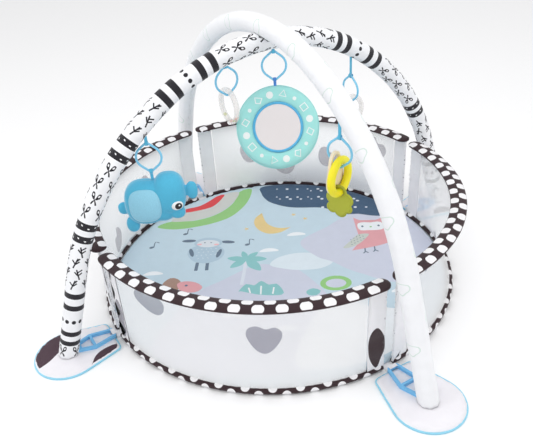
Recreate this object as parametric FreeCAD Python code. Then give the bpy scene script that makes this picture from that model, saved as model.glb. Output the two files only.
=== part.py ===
import FreeCAD, Part

import math
import os

from FreeCAD import Vector

# Baby play gym: a round padded mat inside four fold-down mesh walls, two padded arches that cross over it
# on four foot pads, and five toys on ring links. Millimetres, +Z up, origin on the floor at the mat's centre.
# The front is -Y. The printed arch stands on the front-left and back-right corners,
# the white one on the other two.

# ---- mat ----
MAT_RADIUS = 434.0
SHEET = 1.0                  # thickness of the mat's printed top and plain base
MAT_HEIGHT = 13.0

# ---- walls: each is a spring-wire loop with mesh in it, bound with spotted tape ----
WALL_RADIUS = 442.0          # where the wire loop runs
WALL_END = 44.0              # half-angle of one wall, at the tips of its tapes
MESH_END = 37.8              # half-angle of the mesh
POST_START = 38.0            # half-angle where the woven end border begins
RIM_HEIGHT = 238.0           # height of the wire along the rim
MESH_PULL = 42.0             # how far the mesh is drawn in at its middle
MESH_THICKNESS = 1.0
MESH_ROWS = 9
MESH_COLUMNS = 17
WIRE_RADIUS = 1.5
WIRE_BEND = 25.0             # bend radius at the loop's four corners
WIRE_BEND_START = 39.9       # half-angle where those bends begin
SEWN_GAP = 0.05              # between the wire and the cloth round it
RIM_TAPE_WIDTH = 37.0
RIM_TAPE_BOTTOM = 233.5
RIM_TAPE_EDGE = 4.0          # height of the tape's edges
RIM_TAPE_CROWN = 9.5         # height of the tape at its middle seam
HEM_RADIUS = 7.0             # the round tape along the bottom of a wall
HEM_HEIGHT = 8.5
POST_THICKNESS = 2.0
CASING_RADIUS = 3.0          # the sewn casing round the upright wire
WALLS = {"front": -90, "right": 0, "back": 90, "left": 180}

# ---- feet ----
PAD_TOP = 7.0
BACKING = 1.5
PIPING = 1.5                 # how far the backing stands out past the pad
PAD_TIP = (569.0, 0.0, 76.0)             # circles as distance from the centre, sideways, radius
PAD_CORNER = (472.0, 40.0, 12.0)
FEET = {"front_left": -135, "front_right": -45, "back_right": 45, "back_left": 135}
RAIL_RADIUS = 6.0            # the bracket's rails are as wide as this
BRACKET_HEIGHT = 8.0
BRACKET_END = (462.0, 9.0)
BRACKET_MIDDLE = (510.0, 19.0)
BRACKET_NECK = (556.0, 4.0)
BRACKET_WEB = 538.0          # the neck is solid from here on
CROSSBAR = 6.0
SOCKET_RADIUS = 9.5
SOCKET_LENGTH = 62.0
SOCKET_FLOOR = 12.0
POLE_CLEARANCE = 0.05
WEBBING_WIDTH = 20.0
WEBBING = 1.0

# ---- arches ----
FOOT_REACH = 570.0           # where a leg's centreline meets the floor
LEG_ANGLE = 72.5             # degrees above the floor
CROWN_RADIUS = 468.0         # the arc over the top
CROWN_HALF_ANGLE = 31.2
PRINT_APEX = 610.0
WHITE_APEX = 642.0
PRINT_TURN = 45              # the plane that each arch stands in
WHITE_TURN = -45
POLE_RADIUS = 5.0
POLE_WALL = 1.5
FERRULE_RADIUS = 6.5
FERRULE_HALF_ANGLE = 3.6
SLEEVE_RADIUS = 22.0
SLEEVE_CLOTH = 1.5
SLEEVE_HEM = 9.0             # height of the sleeve's open ends
CROSSING_GAP = 0.3
NOTCH_HALF_WIDTH = 14.5      # the slit in the sleeve's hem that the bracket's neck enters
NOTCH_TOP = 16.5

# ---- links and toys ----
LINK_ROD = 2.5
LINK_HEIGHT = 66.0           # between the two rod centres, top and bottom
LINK_TIP = 6.5               # radius of the small bends
LINK_BELLY = 27.0            # radius of the big bends
LINK_GATE = 0.8
RIBBON_EYE = 4.5
RIBBON = 1.2
RIBBON_WIDTH = 6.5
# each toy: the turn of its link's plane, and the point its link hangs from
HANG = {
    "plush": (15.5, (-212.0, -212.0, 457.0)),
    "rattle": (45.0, (-79.0, -41.0, 566.0)),
    "mirror": (15.5, (16.0, 16.0, 582.5)),
    "teether": (-20.5, (192.0, -192.0, 482.0)),
    "ring_rattle": (-42.5, (168.0, 168.0, 474.0)),
}
RATTLE_RADIUS = 36.5
RATTLE_TUBE = 6.5
RATTLE_WALL = 1.2
RATTLE_DROP = 55.1           # from the link's top to the ring's pivot
BEAD_RADIUS = 4.0
BEAD_TURNS = (-52, -30, -8, 16, 40)
TEETHER_RADIUS = 35.5
TEETHER_TUBE = 8.5
TEETHER_DROP = 52.3
CHARM_THICKNESS = 6.0
CHARM_EYE = 13.0
LEAF_THICKNESS = 5.0
LEAF_EYE = 8.8
MIRROR_OUTER = 93.0
MIRROR_INNER = 53.0
MIRROR_PAD_DEPTH = 11.0      # half the pad's thickness
MIRROR_DROP = 106.0          # from the tab's eye to the middle of the mirror
MIRROR_LEAN = 26.0           # the mirror faces up a little
PLATE_THICKNESS = 2.5
BEZEL_ROD = 3.0


def save(name, *shapes):
    shape = shapes[0] if len(shapes) == 1 else Part.makeCompound(list(shapes))
    shape.exportStep("parts/" + name + ".step")


def turned(shape, degrees):
    copy = shape.copy()
    copy.rotate(Vector(0, 0, 0), Vector(0, 0, 1), degrees)
    return copy


def box(low, high):
    size = [b - a for a, b in zip(low, high)]
    return Part.makeBox(*size, Vector(*low))


def belt(circles):
    """Edges of the outline stretched round circles (x, y, radius), named anticlockwise, in the XY plane."""
    count = len(circles)
    normals = []
    for i in range(count):
        x1, y1, r1 = circles[i]
        x2, y2, r2 = circles[(i + 1) % count]
        gap = math.hypot(x2 - x1, y2 - y1)
        heading = math.atan2(y2 - y1, x2 - x1)
        normals.append(heading - math.pi / 2 + math.asin((r1 - r2) / gap))
    edges = []
    for i in range(count):
        x, y, r = circles[i]
        start = normals[i - 1]
        sweep = (normals[i] - start) % (2 * math.pi)
        angles = [start, start + sweep / 2, start + sweep]
        points = [Vector(x + r * math.cos(a), y + r * math.sin(a), 0) for a in angles]
        if edges:
            edges.append(Part.LineSegment(last, points[0]).toShape())
        else:
            first = points[0]
        edges.append(Part.Arc(*points).toShape())
        last = points[2]
    edges.append(Part.LineSegment(last, first).toShape())
    return edges


def plate(circles, bottom, top):
    face = Part.Face(Part.Wire(belt(circles)))
    face.translate(Vector(0, 0, bottom))
    return face.extrude(Vector(0, 0, top - bottom))


def rod(edges, radius):
    """A round rod along tangent edges."""
    path = Part.Wire(edges)
    first = path.OrderedEdges[0]
    start = first.valueAt(first.FirstParameter)
    tangent = first.tangentAt(first.FirstParameter)
    circle = Part.Wire([Part.Circle(start, tangent, radius).toShape()])
    return path.makePipeShell([circle], True, False)


# ---------------------------------------------------------------- mat
def make_mat():
    top = Part.makeCylinder(MAT_RADIUS, MAT_HEIGHT - SHEET, Vector(0, 0, SHEET))
    filling_height = MAT_HEIGHT - 2 * SHEET
    filling = Part.makeCylinder(MAT_RADIUS - SHEET, filling_height, Vector(0, 0, SHEET))
    save("mat_top_sheet", top.cut(filling))
    save("mat_wadding", filling)
    save("mat_base_sheet", Part.makeCylinder(MAT_RADIUS, SHEET))


# ---------------------------------------------------------------- walls, built facing +X
def wire_loop(radius):
    """The spring wire: arcs along the rim and the hem, joined by bends and two uprights."""
    def on_wall(degrees, height):
        a = math.radians(degrees)
        return Vector(WALL_RADIUS * math.cos(a), WALL_RADIUS * math.sin(a), height)

    def bend(sign, height, towards):
        # a quarter turn from the arc into the upright, in the plane that touches the wall at its end
        a = math.radians(WIRE_BEND_START)
        along = Vector(-math.sin(a), sign * math.cos(a), 0)
        start = on_wall(sign * WIRE_BEND_START, height)
        points = []
        for turn in (0, 45, 90):
            t = math.radians(turn)
            rise = towards * WIRE_BEND * (1 - math.cos(t))
            points.append(start + along * (WIRE_BEND * math.sin(t)) + Vector(0, 0, rise))
        return points

    def arc_rod(points, centre, axis, angle):
        tangent = axis.cross(points[0] - centre)
        face = Part.Face(Part.Wire([Part.Circle(points[0], tangent, radius).toShape()]))
        return face.revolve(centre, axis, angle)

    pieces = []
    for height in (RIM_HEIGHT, HEM_HEIGHT):
        start = on_wall(-WIRE_BEND_START, height)
        pieces.append(arc_rod([start], Vector(0, 0, height), Vector(0, 0, 1), 2 * WIRE_BEND_START))
    for sign in (-1, 1):
        low = bend(sign, HEM_HEIGHT, 1)
        high = bend(sign, RIM_HEIGHT, -1)
        for points, towards in ((low, 1), (high, -1)):
            centre = points[0] + Vector(0, 0, towards * WIRE_BEND)
            axis = (points[0] - centre).cross(points[2] - centre)
            axis.normalize()
            pieces.append(arc_rod(points, centre, axis, 90))
        upright = Part.makeCylinder(radius, high[2].z - low[2].z, low[2])
        pieces.append(upright)
    return pieces[0].multiFuse(pieces[1:]).removeSplitter()


def rim_tape():
    """Two strips of tape folded over the rim, flat below and crowned at the middle seam, with round tips."""
    half = RIM_TAPE_WIDTH / 2
    low, edge, crown = RIM_TAPE_BOTTOM, RIM_TAPE_BOTTOM + RIM_TAPE_EDGE, RIM_TAPE_BOTTOM + RIM_TAPE_CROWN

    def section(inner):
        points = [Vector(WALL_RADIUS + inner, 0, low), Vector(WALL_RADIUS + half, 0, low)]
        points.append(Vector(WALL_RADIUS + half, 0, edge))
        bulge = (edge + 3 * crown) / 4
        top = Part.Arc(points[2], Vector(WALL_RADIUS + half / 2, 0, bulge), Vector(WALL_RADIUS, 0, crown))
        edges = [Part.makeLine(points[0], points[1]), Part.makeLine(points[1], points[2]), top.toShape()]
        if inner < 0:
            left = Vector(WALL_RADIUS - half, 0, edge)
            mid = Vector(WALL_RADIUS - half / 2, 0, bulge)
            edges.append(Part.Arc(Vector(WALL_RADIUS, 0, crown), mid, left).toShape())
            edges.append(Part.makeLine(left, points[0]))
        else:
            edges.append(Part.makeLine(Vector(WALL_RADIUS, 0, crown), points[0]))
        return Part.Face(Part.Wire(edges))

    tip = WALL_END - math.degrees(half / WALL_RADIUS)
    strip = turned(section(-half).revolve(Vector(0, 0, 0), Vector(0, 0, 1), 2 * tip), -tip)
    cap = section(0).revolve(Vector(WALL_RADIUS, 0, 0), Vector(0, 0, 1), 360)
    return strip.fuse([turned(cap, tip), turned(cap, -tip)]).removeSplitter()


def hem_tape():
    """The round tape along the bottom of a wall, with round ends."""
    end = WALL_END - math.degrees(HEM_RADIUS / WALL_RADIUS)
    circle = Part.Circle(Vector(WALL_RADIUS, 0, HEM_HEIGHT), Vector(0, 1, 0), HEM_RADIUS)
    tube = Part.Face(Part.Wire([circle.toShape()])).revolve(Vector(0, 0, 0), Vector(0, 0, 1), 2 * end)
    ball = Part.makeSphere(HEM_RADIUS, Vector(WALL_RADIUS, 0, HEM_HEIGHT))
    return turned(tube, -end).fuse([turned(ball, end), turned(ball, -end)])


def end_border(sign):
    """The woven border at one end of a wall, with the casing that holds the upright wire."""
    casing_turn = WIRE_BEND_START + math.degrees(math.atan(WIRE_BEND / WALL_RADIUS))
    casing_reach = math.hypot(WALL_RADIUS, WIRE_BEND)
    height = RIM_TAPE_BOTTOM - HEM_HEIGHT
    inner, outer = WALL_RADIUS - POST_THICKNESS / 2, WALL_RADIUS + POST_THICKNESS / 2
    low, high = HEM_HEIGHT, RIM_TAPE_BOTTOM
    corners = [Vector(inner, 0, low), Vector(outer, 0, low), Vector(outer, 0, high), Vector(inner, 0, high)]
    face = Part.Face(Part.makePolygon(corners + corners[:1]))
    web = face.revolve(Vector(0, 0, 0), Vector(0, 0, 1), casing_turn - POST_START)
    web = turned(web, POST_START)
    casing = Part.makeCylinder(CASING_RADIUS, height, Vector(casing_reach, 0, HEM_HEIGHT))
    casing = turned(casing, casing_turn)
    border = web.fuse(casing)
    if sign < 0:
        border = border.mirror(Vector(0, 0, 0), Vector(0, 1, 0))
    return border


def mesh_panel():
    """The stretched mesh: on the wall's cylinder along all its edges, drawn in towards its middle."""
    bottom = HEM_HEIGHT + HEM_RADIUS / 2
    rows = []
    for i in range(MESH_COLUMNS):
        across = 2 * i / (MESH_COLUMNS - 1) - 1
        a = math.radians(MESH_END * across)
        column = []
        for j in range(MESH_ROWS):
            up = j / (MESH_ROWS - 1)
            radius = WALL_RADIUS - MESH_PULL * (1 - across ** 4) * math.sin(math.pi * up)
            height = bottom + up * (RIM_TAPE_BOTTOM - bottom)
            column.append(Vector(radius * math.cos(a), radius * math.sin(a), height))
        rows.append(column)
    surface = Part.BSplineSurface()
    surface.interpolate(rows)
    return surface.toShape().extrude(Vector(MESH_THICKNESS, 0, 0))


def make_walls():
    wire = wire_loop(WIRE_RADIUS)
    tunnel = wire_loop(WIRE_RADIUS + SEWN_GAP)
    rim = rim_tape()
    hem = hem_tape()
    borders = [end_border(sign).cut(hem).cut(tunnel) for sign in (-1, 1)]
    pieces = {
        "mesh": [mesh_panel().cut(hem)],
        "rim_tape": [rim.cut(tunnel)],
        "hem_tape": [hem.cut(tunnel)],
        "spring_wire": [wire],
        "end_borders": borders,
    }
    for wall, turn in WALLS.items():
        for piece, shapes in pieces.items():
            save(wall + "_" + piece, *[turned(shape, turn) for shape in shapes])


# ---------------------------------------------------------------- arches, built in the XZ plane
def half_arch(apex, foot_height):
    """Edges of one half of an arch's centreline, from the apex down to foot_height on the leg."""
    crown, leg = math.radians(CROWN_HALF_ANGLE), math.radians(LEG_ANGLE)
    x1 = CROWN_RADIUS * math.sin(crown)
    z1 = apex - CROWN_RADIUS * (1 - math.cos(crown))
    lean = 1 / math.tan(leg)
    run = math.sin(leg) - math.sin(crown) - (math.cos(crown) - math.cos(leg)) * lean
    shoulder = (FOOT_REACH - x1 - z1 * lean) / run

    def on_crown(a):
        return Vector(CROWN_RADIUS * math.sin(a), 0, apex - CROWN_RADIUS * (1 - math.cos(a)))

    def on_shoulder(a):
        x = x1 + shoulder * (math.sin(a) - math.sin(crown))
        return Vector(x, 0, z1 - shoulder * (math.cos(crown) - math.cos(a)))

    foot = Vector(FOOT_REACH - foot_height * lean, 0, foot_height)
    return [
        Part.Arc(on_crown(0), on_crown(crown / 2), on_crown(crown)).toShape(),
        Part.Arc(on_shoulder(crown), on_shoulder((crown + leg) / 2), on_shoulder(leg)).toShape(),
        Part.LineSegment(on_shoulder(leg), foot).toShape(),
    ]


def full_tube(apex, radius):
    """The whole arch as one round solid, cut level at the sleeve's hem."""
    half = rod(half_arch(apex, 0), radius)
    other = half.mirror(Vector(0, 0, 0), Vector(1, 0, 0))
    whole = half.fuse(other).removeSplitter()
    reach = FOOT_REACH + 2 * SLEEVE_RADIUS
    above = box((-reach, -reach, SLEEVE_HEM), (reach, reach, apex + 2 * SLEEVE_RADIUS))
    return whole.common(above)


def pole_halves(apex):
    edges = half_arch(apex, SOCKET_FLOOR)
    tube = rod(edges, POLE_RADIUS).cut(rod(edges, POLE_RADIUS - POLE_WALL))
    return [tube, tube.mirror(Vector(0, 0, 0), Vector(1, 0, 0))]


def ferrule(apex):
    centre = Vector(0, 0, apex - CROWN_RADIUS)
    rings = []
    for radius in (FERRULE_RADIUS, POLE_RADIUS + POLE_CLEARANCE):
        circle = Part.Circle(Vector(0, 0, apex), Vector(1, 0, 0), radius).toShape()
        face = Part.Face(Part.Wire([circle]))
        face.rotate(centre, Vector(0, 1, 0), -FERRULE_HALF_ANGLE)
        rings.append(face.revolve(centre, Vector(0, 1, 0), 2 * FERRULE_HALF_ANGLE))
    return rings[0].cut(rings[1])


def leg_cylinder(radius, low, high):
    """A cylinder along the +X leg's axis, between two heights on that axis."""
    lean = 1 / math.tan(math.radians(LEG_ANGLE))
    start = Vector(FOOT_REACH - low * lean, 0, low)
    end = Vector(FOOT_REACH - high * lean, 0, high)
    return Part.makeCylinder(radius, (end - start).Length, start, end - start)


def both_ends(shape):
    return [shape, turned(shape, 180)]


def make_arches():
    notch = box((FOOT_REACH - 32, -NOTCH_HALF_WIDTH, 0), (FOOT_REACH - 8, NOTCH_HALF_WIDTH, NOTCH_TOP))
    socket_room = leg_cylinder(SOCKET_RADIUS + CROSSING_GAP, 0, SOCKET_LENGTH + 6)
    arches = {"print": (PRINT_APEX, PRINT_TURN), "white": (WHITE_APEX, WHITE_TURN)}
    quarter = WHITE_TURN - PRINT_TURN
    outer_gap = SLEEVE_RADIUS + CROSSING_GAP
    dents = {
        "print": [turned(full_tube(WHITE_APEX, outer_gap + extra), quarter) for extra in (0, SLEEVE_CLOTH)],
        "white": [None, None],
    }
    wadding = []
    for name, (apex, turn) in arches.items():
        outer = full_tube(apex, SLEEVE_RADIUS)
        inner = full_tube(apex, SLEEVE_RADIUS - SLEEVE_CLOTH)
        if dents[name][0]:
            outer = outer.cut(dents[name][0])
            inner = inner.cut(dents[name][1])
        cover = outer.cut(inner).cut(both_ends(notch))
        core = inner.cut(full_tube(apex, FERRULE_RADIUS + CROSSING_GAP))
        core = core.cut(both_ends(notch) + both_ends(socket_room))
        save(name + "_sleeve", turned(cover, turn))
        save(name + "_arch_poles", *[turned(pole, turn) for pole in pole_halves(apex)])
        wadding.append(turned(core, turn))
    save("sleeve_wadding", *wadding)
    save("pole_ferrules", *[turned(ferrule(apex), turn) for apex, turn in arches.values()])


# ---------------------------------------------------------------- feet, built on the +X side
def foot_bracket():
    """A flat ladder on the pad, running into the slanted socket that the pole stands in."""
    ends = [BRACKET_END, BRACKET_MIDDLE, BRACKET_NECK]
    right = [(x, -y, RAIL_RADIUS) for x, y in ends]
    left = [(x, y, RAIL_RADIUS) for x, y in reversed(ends)]
    top = PAD_TOP + BRACKET_HEIGHT
    ladder = plate(right + left, PAD_TOP, top)

    def rail_line(x):
        # half-width of the windows, at the rails' inner edge
        (x1, y1), (x2, y2) = (ends[0], ends[1]) if x < BRACKET_MIDDLE[0] else (ends[1], ends[2])
        return y1 + (y2 - y1) * (x - x1) / (x2 - x1)

    middle = BRACKET_MIDDLE[0]
    windows = ((BRACKET_END[0], middle - CROSSBAR / 2), (middle + CROSSBAR / 2, BRACKET_WEB))
    for start, end in windows:
        corners = [(start, -rail_line(start)), (end, -rail_line(end)),
                   (end, rail_line(end)), (start, rail_line(start))]
        points = [Vector(x, y, PAD_TOP) for x, y in corners]
        window = Part.Face(Part.makePolygon(points + points[:1]))
        ladder = ladder.cut(window.extrude(Vector(0, 0, BRACKET_HEIGHT)))
    above = box((FOOT_REACH - 60, -40, PAD_TOP), (FOOT_REACH + 40, 40, 100))
    socket = leg_cylinder(SOCKET_RADIUS, -10, SOCKET_LENGTH).common(above)
    bore = leg_cylinder(POLE_RADIUS + POLE_CLEARANCE, SOCKET_FLOOR, SOCKET_LENGTH + 10)
    return ladder.fuse(socket).cut(bore).removeSplitter()


def foot_webbing():
    """A strap from the mat's edge, under the walls' hems, up round the bracket's end bar."""
    half = WEBBING_WIDTH / 2
    bar_low = BRACKET_END[0] - RAIL_RADIUS
    loop_top = PAD_TOP + BRACKET_HEIGHT + 0.3
    strap = box((MAT_RADIUS - 20, -half, 0), (bar_low - 0.3, half, WEBBING))
    rise = box((bar_low - 0.3 - WEBBING, -half, 0), (bar_low - 0.3, half, loop_top + WEBBING))
    over = box((bar_low - 0.3 - WEBBING, -half, loop_top), (BRACKET_END[0] + 2, half, loop_top + WEBBING))
    strap = strap.fuse([rise, over]).removeSplitter()
    return strap.cut(Part.makeCylinder(MAT_RADIUS, MAT_HEIGHT))


def make_feet():
    x, y, r = PAD_CORNER
    outline = [(x, -y, r), PAD_TIP, (x, y, r)]
    wider = [(a, b, c + PIPING) for a, b, c in outline]
    pad = plate(outline, BACKING, PAD_TOP)
    backing = plate(wider, 0, BACKING)
    bracket = foot_bracket()
    for foot, turn in FEET.items():
        save("foot_pad_" + foot, turned(pad, turn))
        save("foot_bracket_" + foot, turned(bracket, turn))
    save("foot_pad_backings", *[turned(backing, turn) for turn in FEET.values()])
    save("foot_webbings", *[turned(foot_webbing(), turn) for turn in FEET.values()])


# ---------------------------------------------------------------- links and toys
# Each is built hanging below the origin, its link's plane along X, then turned and moved to its place.
def hung(toy, shape):
    turn, (x, y, z) = HANG[toy]
    placed = turned(shape, turn)
    placed.translate(Vector(x, y, z))
    return placed


def upright(shape):
    """From the XY plane, where outlines are drawn, to the XZ plane."""
    shape.rotate(Vector(0, 0, 0), Vector(1, 0, 0), 90)
    return shape


def link():
    """A ring of round rod, narrowed to a small bend at top and bottom, with a thin gate in one side."""
    bottom = (0, LINK_TIP - LINK_HEIGHT, LINK_TIP)
    belly = (0, -LINK_HEIGHT / 2, LINK_BELLY)
    top = (0, -LINK_TIP, LINK_TIP)
    ring = rod([upright(edge) for edge in belt([bottom, belly, top, belly])], LINK_ROD)
    half = LINK_GATE / 2
    middle = -LINK_HEIGHT / 2
    gate = box((-LINK_BELLY - 5, -5, middle - half), (-LINK_BELLY + 5, 5, middle + half))
    return ring.cut(gate)


def ribbon(length, up=1):
    """A folded ribbon: an eye round the origin's X axis, and two plies running up, or down, from it."""
    half = RIBBON_WIDTH / 2
    outside = RIBBON_EYE + RIBBON
    start, axis = Vector(-half, 0, 0), Vector(1, 0, 0)
    eye = Part.makeCylinder(outside, RIBBON_WIDTH, start, axis)
    plies = box((-half, -RIBBON, 0), (half, RIBBON, length))
    if up < 0:
        plies = box((-half, -RIBBON, -length), (half, RIBBON, 0))
    return eye.fuse(plies).cut(Part.makeCylinder(RIBBON_EYE, RIBBON_WIDTH, start, axis)).removeSplitter()


def toy_ring(radius, tube, drop):
    """A ring in the plane across its link, its top at the pivot."""
    return Part.makeTorus(radius, tube, Vector(0, 0, -drop - radius), Vector(1, 0, 0))


def make_links():
    print_arch = turned(full_tube(PRINT_APEX, SLEEVE_RADIUS), PRINT_TURN)
    white_arch = turned(full_tube(WHITE_APEX, SLEEVE_RADIUS), WHITE_TURN)
    plain = link()
    loops = []
    for toy in HANG:
        save(toy + "_link", hung(toy, plain))
        sleeve = white_arch if toy == "teether" else print_arch
        loop = ribbon(70.0)
        if toy == "rattle":
            # this loop comes out of the sleeve's back seam, so it leans towards the arch
            loop.rotate(Vector(0, 0, 0), Vector(1, 0, 0), 44)
        loop = hung(toy, loop).cut(sleeve)
        lowest = min(loop.Solids, key=lambda solid: solid.BoundBox.ZMin)
        loops.append(lowest)
    save("toy_loops", *loops)


def rattle(toy):
    ring = toy_ring(RATTLE_RADIUS, RATTLE_TUBE, RATTLE_DROP)
    hollow = toy_ring(RATTLE_RADIUS, RATTLE_TUBE - RATTLE_WALL, RATTLE_DROP)
    beads = []
    for turn in BEAD_TURNS:
        a = math.radians(turn)
        y = RATTLE_RADIUS * math.sin(a)
        z = -RATTLE_DROP - RATTLE_RADIUS * (1 + math.cos(a))
        beads.append(hung(toy, Part.makeSphere(BEAD_RADIUS, Vector(0, y, z))))
    save(toy + "_tube", hung(toy, ring.cut(hollow)))
    save(toy + "_beads", *beads)


def sideways(shape):
    """From the XY plane to the plane across the link: drawing X runs along Y, drawing Y runs up."""
    shape.rotate(Vector(0, 0, 0), Vector(1, 0, 0), 90)
    shape.rotate(Vector(0, 0, 0), Vector(0, 0, 1), 90)
    return shape


def make_teether():
    ring = toy_ring(TEETHER_RADIUS, TEETHER_TUBE, TEETHER_DROP)
    eye, belly = (0, -TEETHER_DROP, 19), (0, -TEETHER_DROP - 45, 31)
    charm = plate([belly, eye], 0, CHARM_THICKNESS)
    charm = charm.cut(Part.makeCylinder(CHARM_EYE, CHARM_THICKNESS, Vector(0, -TEETHER_DROP, 0)))
    charm = sideways(charm)
    charm.translate(Vector(-TEETHER_TUBE - CHARM_THICKNESS, 0, 0))
    hole = -TEETHER_DROP - 2 * TEETHER_RADIUS
    lobes = [(0, hole, 17), (-16, hole - 18, 16), (16, hole - 16, 16),
             (-18, hole - 42, 13), (2, hole - 46, 15),
             (18, hole - 36, 12), (0, hole - 26, 22)]
    leaf = None
    for x, y, r in lobes:
        lobe = Part.makeCylinder(r, LEAF_THICKNESS, Vector(x, y, -LEAF_THICKNESS / 2))
        leaf = leaf.fuse(lobe) if leaf else lobe
    leaf = leaf.cut(Part.makeCylinder(LEAF_EYE, LEAF_THICKNESS, Vector(0, hole, -LEAF_THICKNESS / 2)))
    # the ring's tube curves, so the leaf's eye is opened a little more by the ring itself
    threaded = toy_ring(TEETHER_RADIUS, TEETHER_TUBE + 0.3, TEETHER_DROP)
    leaf = upright(leaf.removeSplitter()).cut([charm, threaded])
    save("teether_ring", hung("teether", ring))
    save("teether_charm", hung("teether", charm))
    save("teether_leaf", hung("teether", leaf))


def make_mirror():
    """A padded ring round a plastic mirror, on a ribbon tab, leant back about its pivot."""
    middle = (MIRROR_OUTER + MIRROR_INNER) / 2
    half_width = (MIRROR_OUTER - MIRROR_INNER) / 2
    centre = Vector(0, 0, -MIRROR_DROP)
    oval = Part.Ellipse(Vector(middle, 0, 0), half_width, MIRROR_PAD_DEPTH).toShape()
    oval.rotate(Vector(middle, 0, 0), Vector(1, 0, 0), 90)
    pad = Part.Face(Part.Wire([oval])).revolve(Vector(0, 0, 0), Vector(0, 0, 1), 360)
    bezel = Part.makeTorus(MIRROR_INNER + 1, BEZEL_ROD, Vector(0, 0, 7))
    glass = Part.makeCylinder(MIRROR_INNER + 1, PLATE_THICKNESS, Vector(0, 0, 7 - PLATE_THICKNESS / 2))
    back = Part.makeCylinder(MIRROR_INNER + 6, SHEET, Vector(0, 0, -7))
    pieces = {
        "pad": pad.cut([bezel, glass, back]),
        "bezel": bezel,
        "glass": glass.cut(bezel),
        "back": back,
    }
    for shape in pieces.values():
        shape.rotate(Vector(0, 0, 0), Vector(1, 0, 0), 90)
        shape.translate(centre)
    pieces["tab"] = ribbon(MIRROR_DROP - MIRROR_OUTER + 6, up=-1).cut(pieces["pad"])
    for name, shape in pieces.items():
        shape.rotate(Vector(0, 0, 0), Vector(1, 0, 0), -MIRROR_LEAN)
        shape.translate(Vector(0, 0, -LINK_HEIGHT))
        save("mirror_" + name, hung("mirror", shape))


def lump(centre, radius, half_height):
    """A rounded lump, upright, with domed ends."""
    straight = half_height - radius
    slant = radius * math.sqrt(0.5)
    tops = [Vector(0, 0, half_height), Vector(slant, 0, straight + slant), Vector(radius, 0, straight)]
    bottoms = [Vector(point.x, 0, -point.z) for point in reversed(tops)]
    edges = [Part.Arc(*tops).toShape(), Part.makeLine(tops[2], bottoms[0]), Part.Arc(*bottoms).toShape()]
    edges.append(Part.makeLine(bottoms[2], tops[0]))
    shape = Part.Face(Part.Wire(edges)).revolve(Vector(0, 0, 0), Vector(0, 0, 1), 360)
    shape.translate(Vector(*centre))
    return shape


def make_plush():
    """A stuffed animal: body and head in one, with ear, tail, foot and snout lobes sewn on."""
    body = lump((-15, 0, -76), 40, 55).fuse(lump((38, 0, -56), 37, 50)).Solids[0]
    lobes = [lump((84, -4, -52), 11, 22), lump((-62, 0, -90), 12, 15), lump((-46, -8, -130), 15, 17),
             lump((58, -10, -104), 15, 16)]
    lobes = [max(lobe.cut(body).Solids, key=lambda solid: solid.Volume) for lobe in lobes]
    masses = [body] + lobes
    weight = sum(shape.Volume for shape in masses)
    balance = Vector(0, 0, 0)
    for shape in masses:
        balance += shape.CenterOfMass * (shape.Volume / weight)
    for shape in masses:
        shape.translate(Vector(-balance.x, -balance.y, -LINK_HEIGHT))
    tab = ribbon(60.0, up=-1)
    tab.translate(Vector(0, 0, -LINK_HEIGHT))
    tab = max(tab.cut(body).Solids, key=lambda solid: solid.BoundBox.ZMax)
    save("plush_body", hung("plush", body))
    save("plush_lobes", *[hung("plush", lobe) for lobe in lobes])
    save("plush_tab", hung("plush", tab))


os.makedirs("parts", exist_ok=True)
make_mat()
make_walls()
make_arches()
make_feet()
make_links()
rattle("rattle")
rattle("ring_rattle")
make_teether()
make_mirror()
make_plush()
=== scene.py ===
import bmesh
import bpy
import math
import numpy as np
from mathutils import Matrix, Vector, geometry, noise


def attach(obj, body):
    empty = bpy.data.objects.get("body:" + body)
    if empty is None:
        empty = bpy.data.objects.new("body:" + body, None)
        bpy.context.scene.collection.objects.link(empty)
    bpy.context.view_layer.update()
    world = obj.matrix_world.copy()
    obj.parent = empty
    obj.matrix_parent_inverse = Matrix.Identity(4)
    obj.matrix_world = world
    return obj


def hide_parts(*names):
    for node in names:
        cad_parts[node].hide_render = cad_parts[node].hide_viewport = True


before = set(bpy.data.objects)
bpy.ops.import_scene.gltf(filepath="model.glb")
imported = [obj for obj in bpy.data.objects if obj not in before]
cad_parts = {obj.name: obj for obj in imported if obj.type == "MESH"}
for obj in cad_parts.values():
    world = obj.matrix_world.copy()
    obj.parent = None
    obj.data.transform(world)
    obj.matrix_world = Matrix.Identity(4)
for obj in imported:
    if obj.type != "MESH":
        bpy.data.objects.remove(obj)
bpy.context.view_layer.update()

# ---------------------------------------------------------------- room, light and camera
# A pale studio floor under soft light from above and both sides, and a camera that looks
# down at the gym from its front, a little to the right.
MM = 0.001
PRINT_TURN = math.radians(15.5)          # the mat's print and the camera are turned like this


def shade(code):
    """A linear colour from an sRGB hex code."""
    parts = [int(code[i:i + 2], 16) / 255 for i in (0, 2, 4)]
    return [p / 12.92 if p <= 0.04045 else ((p + 0.055) / 1.055) ** 2.4 for p in parts] + [1.0]


def node(tree, kind, inputs, **settings):
    """Adds a node with its settings. An input is a value or another node's socket."""
    made = tree.nodes.new("ShaderNode" + kind)
    for key, value in settings.items():
        setattr(made, key, value)
    for key, value in inputs.items():
        if isinstance(value, bpy.types.NodeSocket):
            tree.links.new(value, made.inputs[key])
        else:
            made.inputs[key].default_value = value
    return made


def new_material(name, **surface):
    """A material with its shader's own values, and its node tree."""
    material = bpy.data.materials.new(name)
    material.use_nodes = True
    shader = material.node_tree.nodes["Principled BSDF"]
    for key, value in surface.items():
        shader.inputs[key.replace("_", " ")].default_value = value
    return material, material.node_tree, shader


def calc(tree, operation, a, b=0.0):
    return node(tree, "Math", {0: a, 1: b}, operation=operation).outputs[0]


def blend_colour(tree, factor, first, second):
    mix = node(tree, "Mix", {"Factor": factor, "A": first, "B": second}, data_type="RGBA")
    return mix.outputs["Result"]


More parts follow.
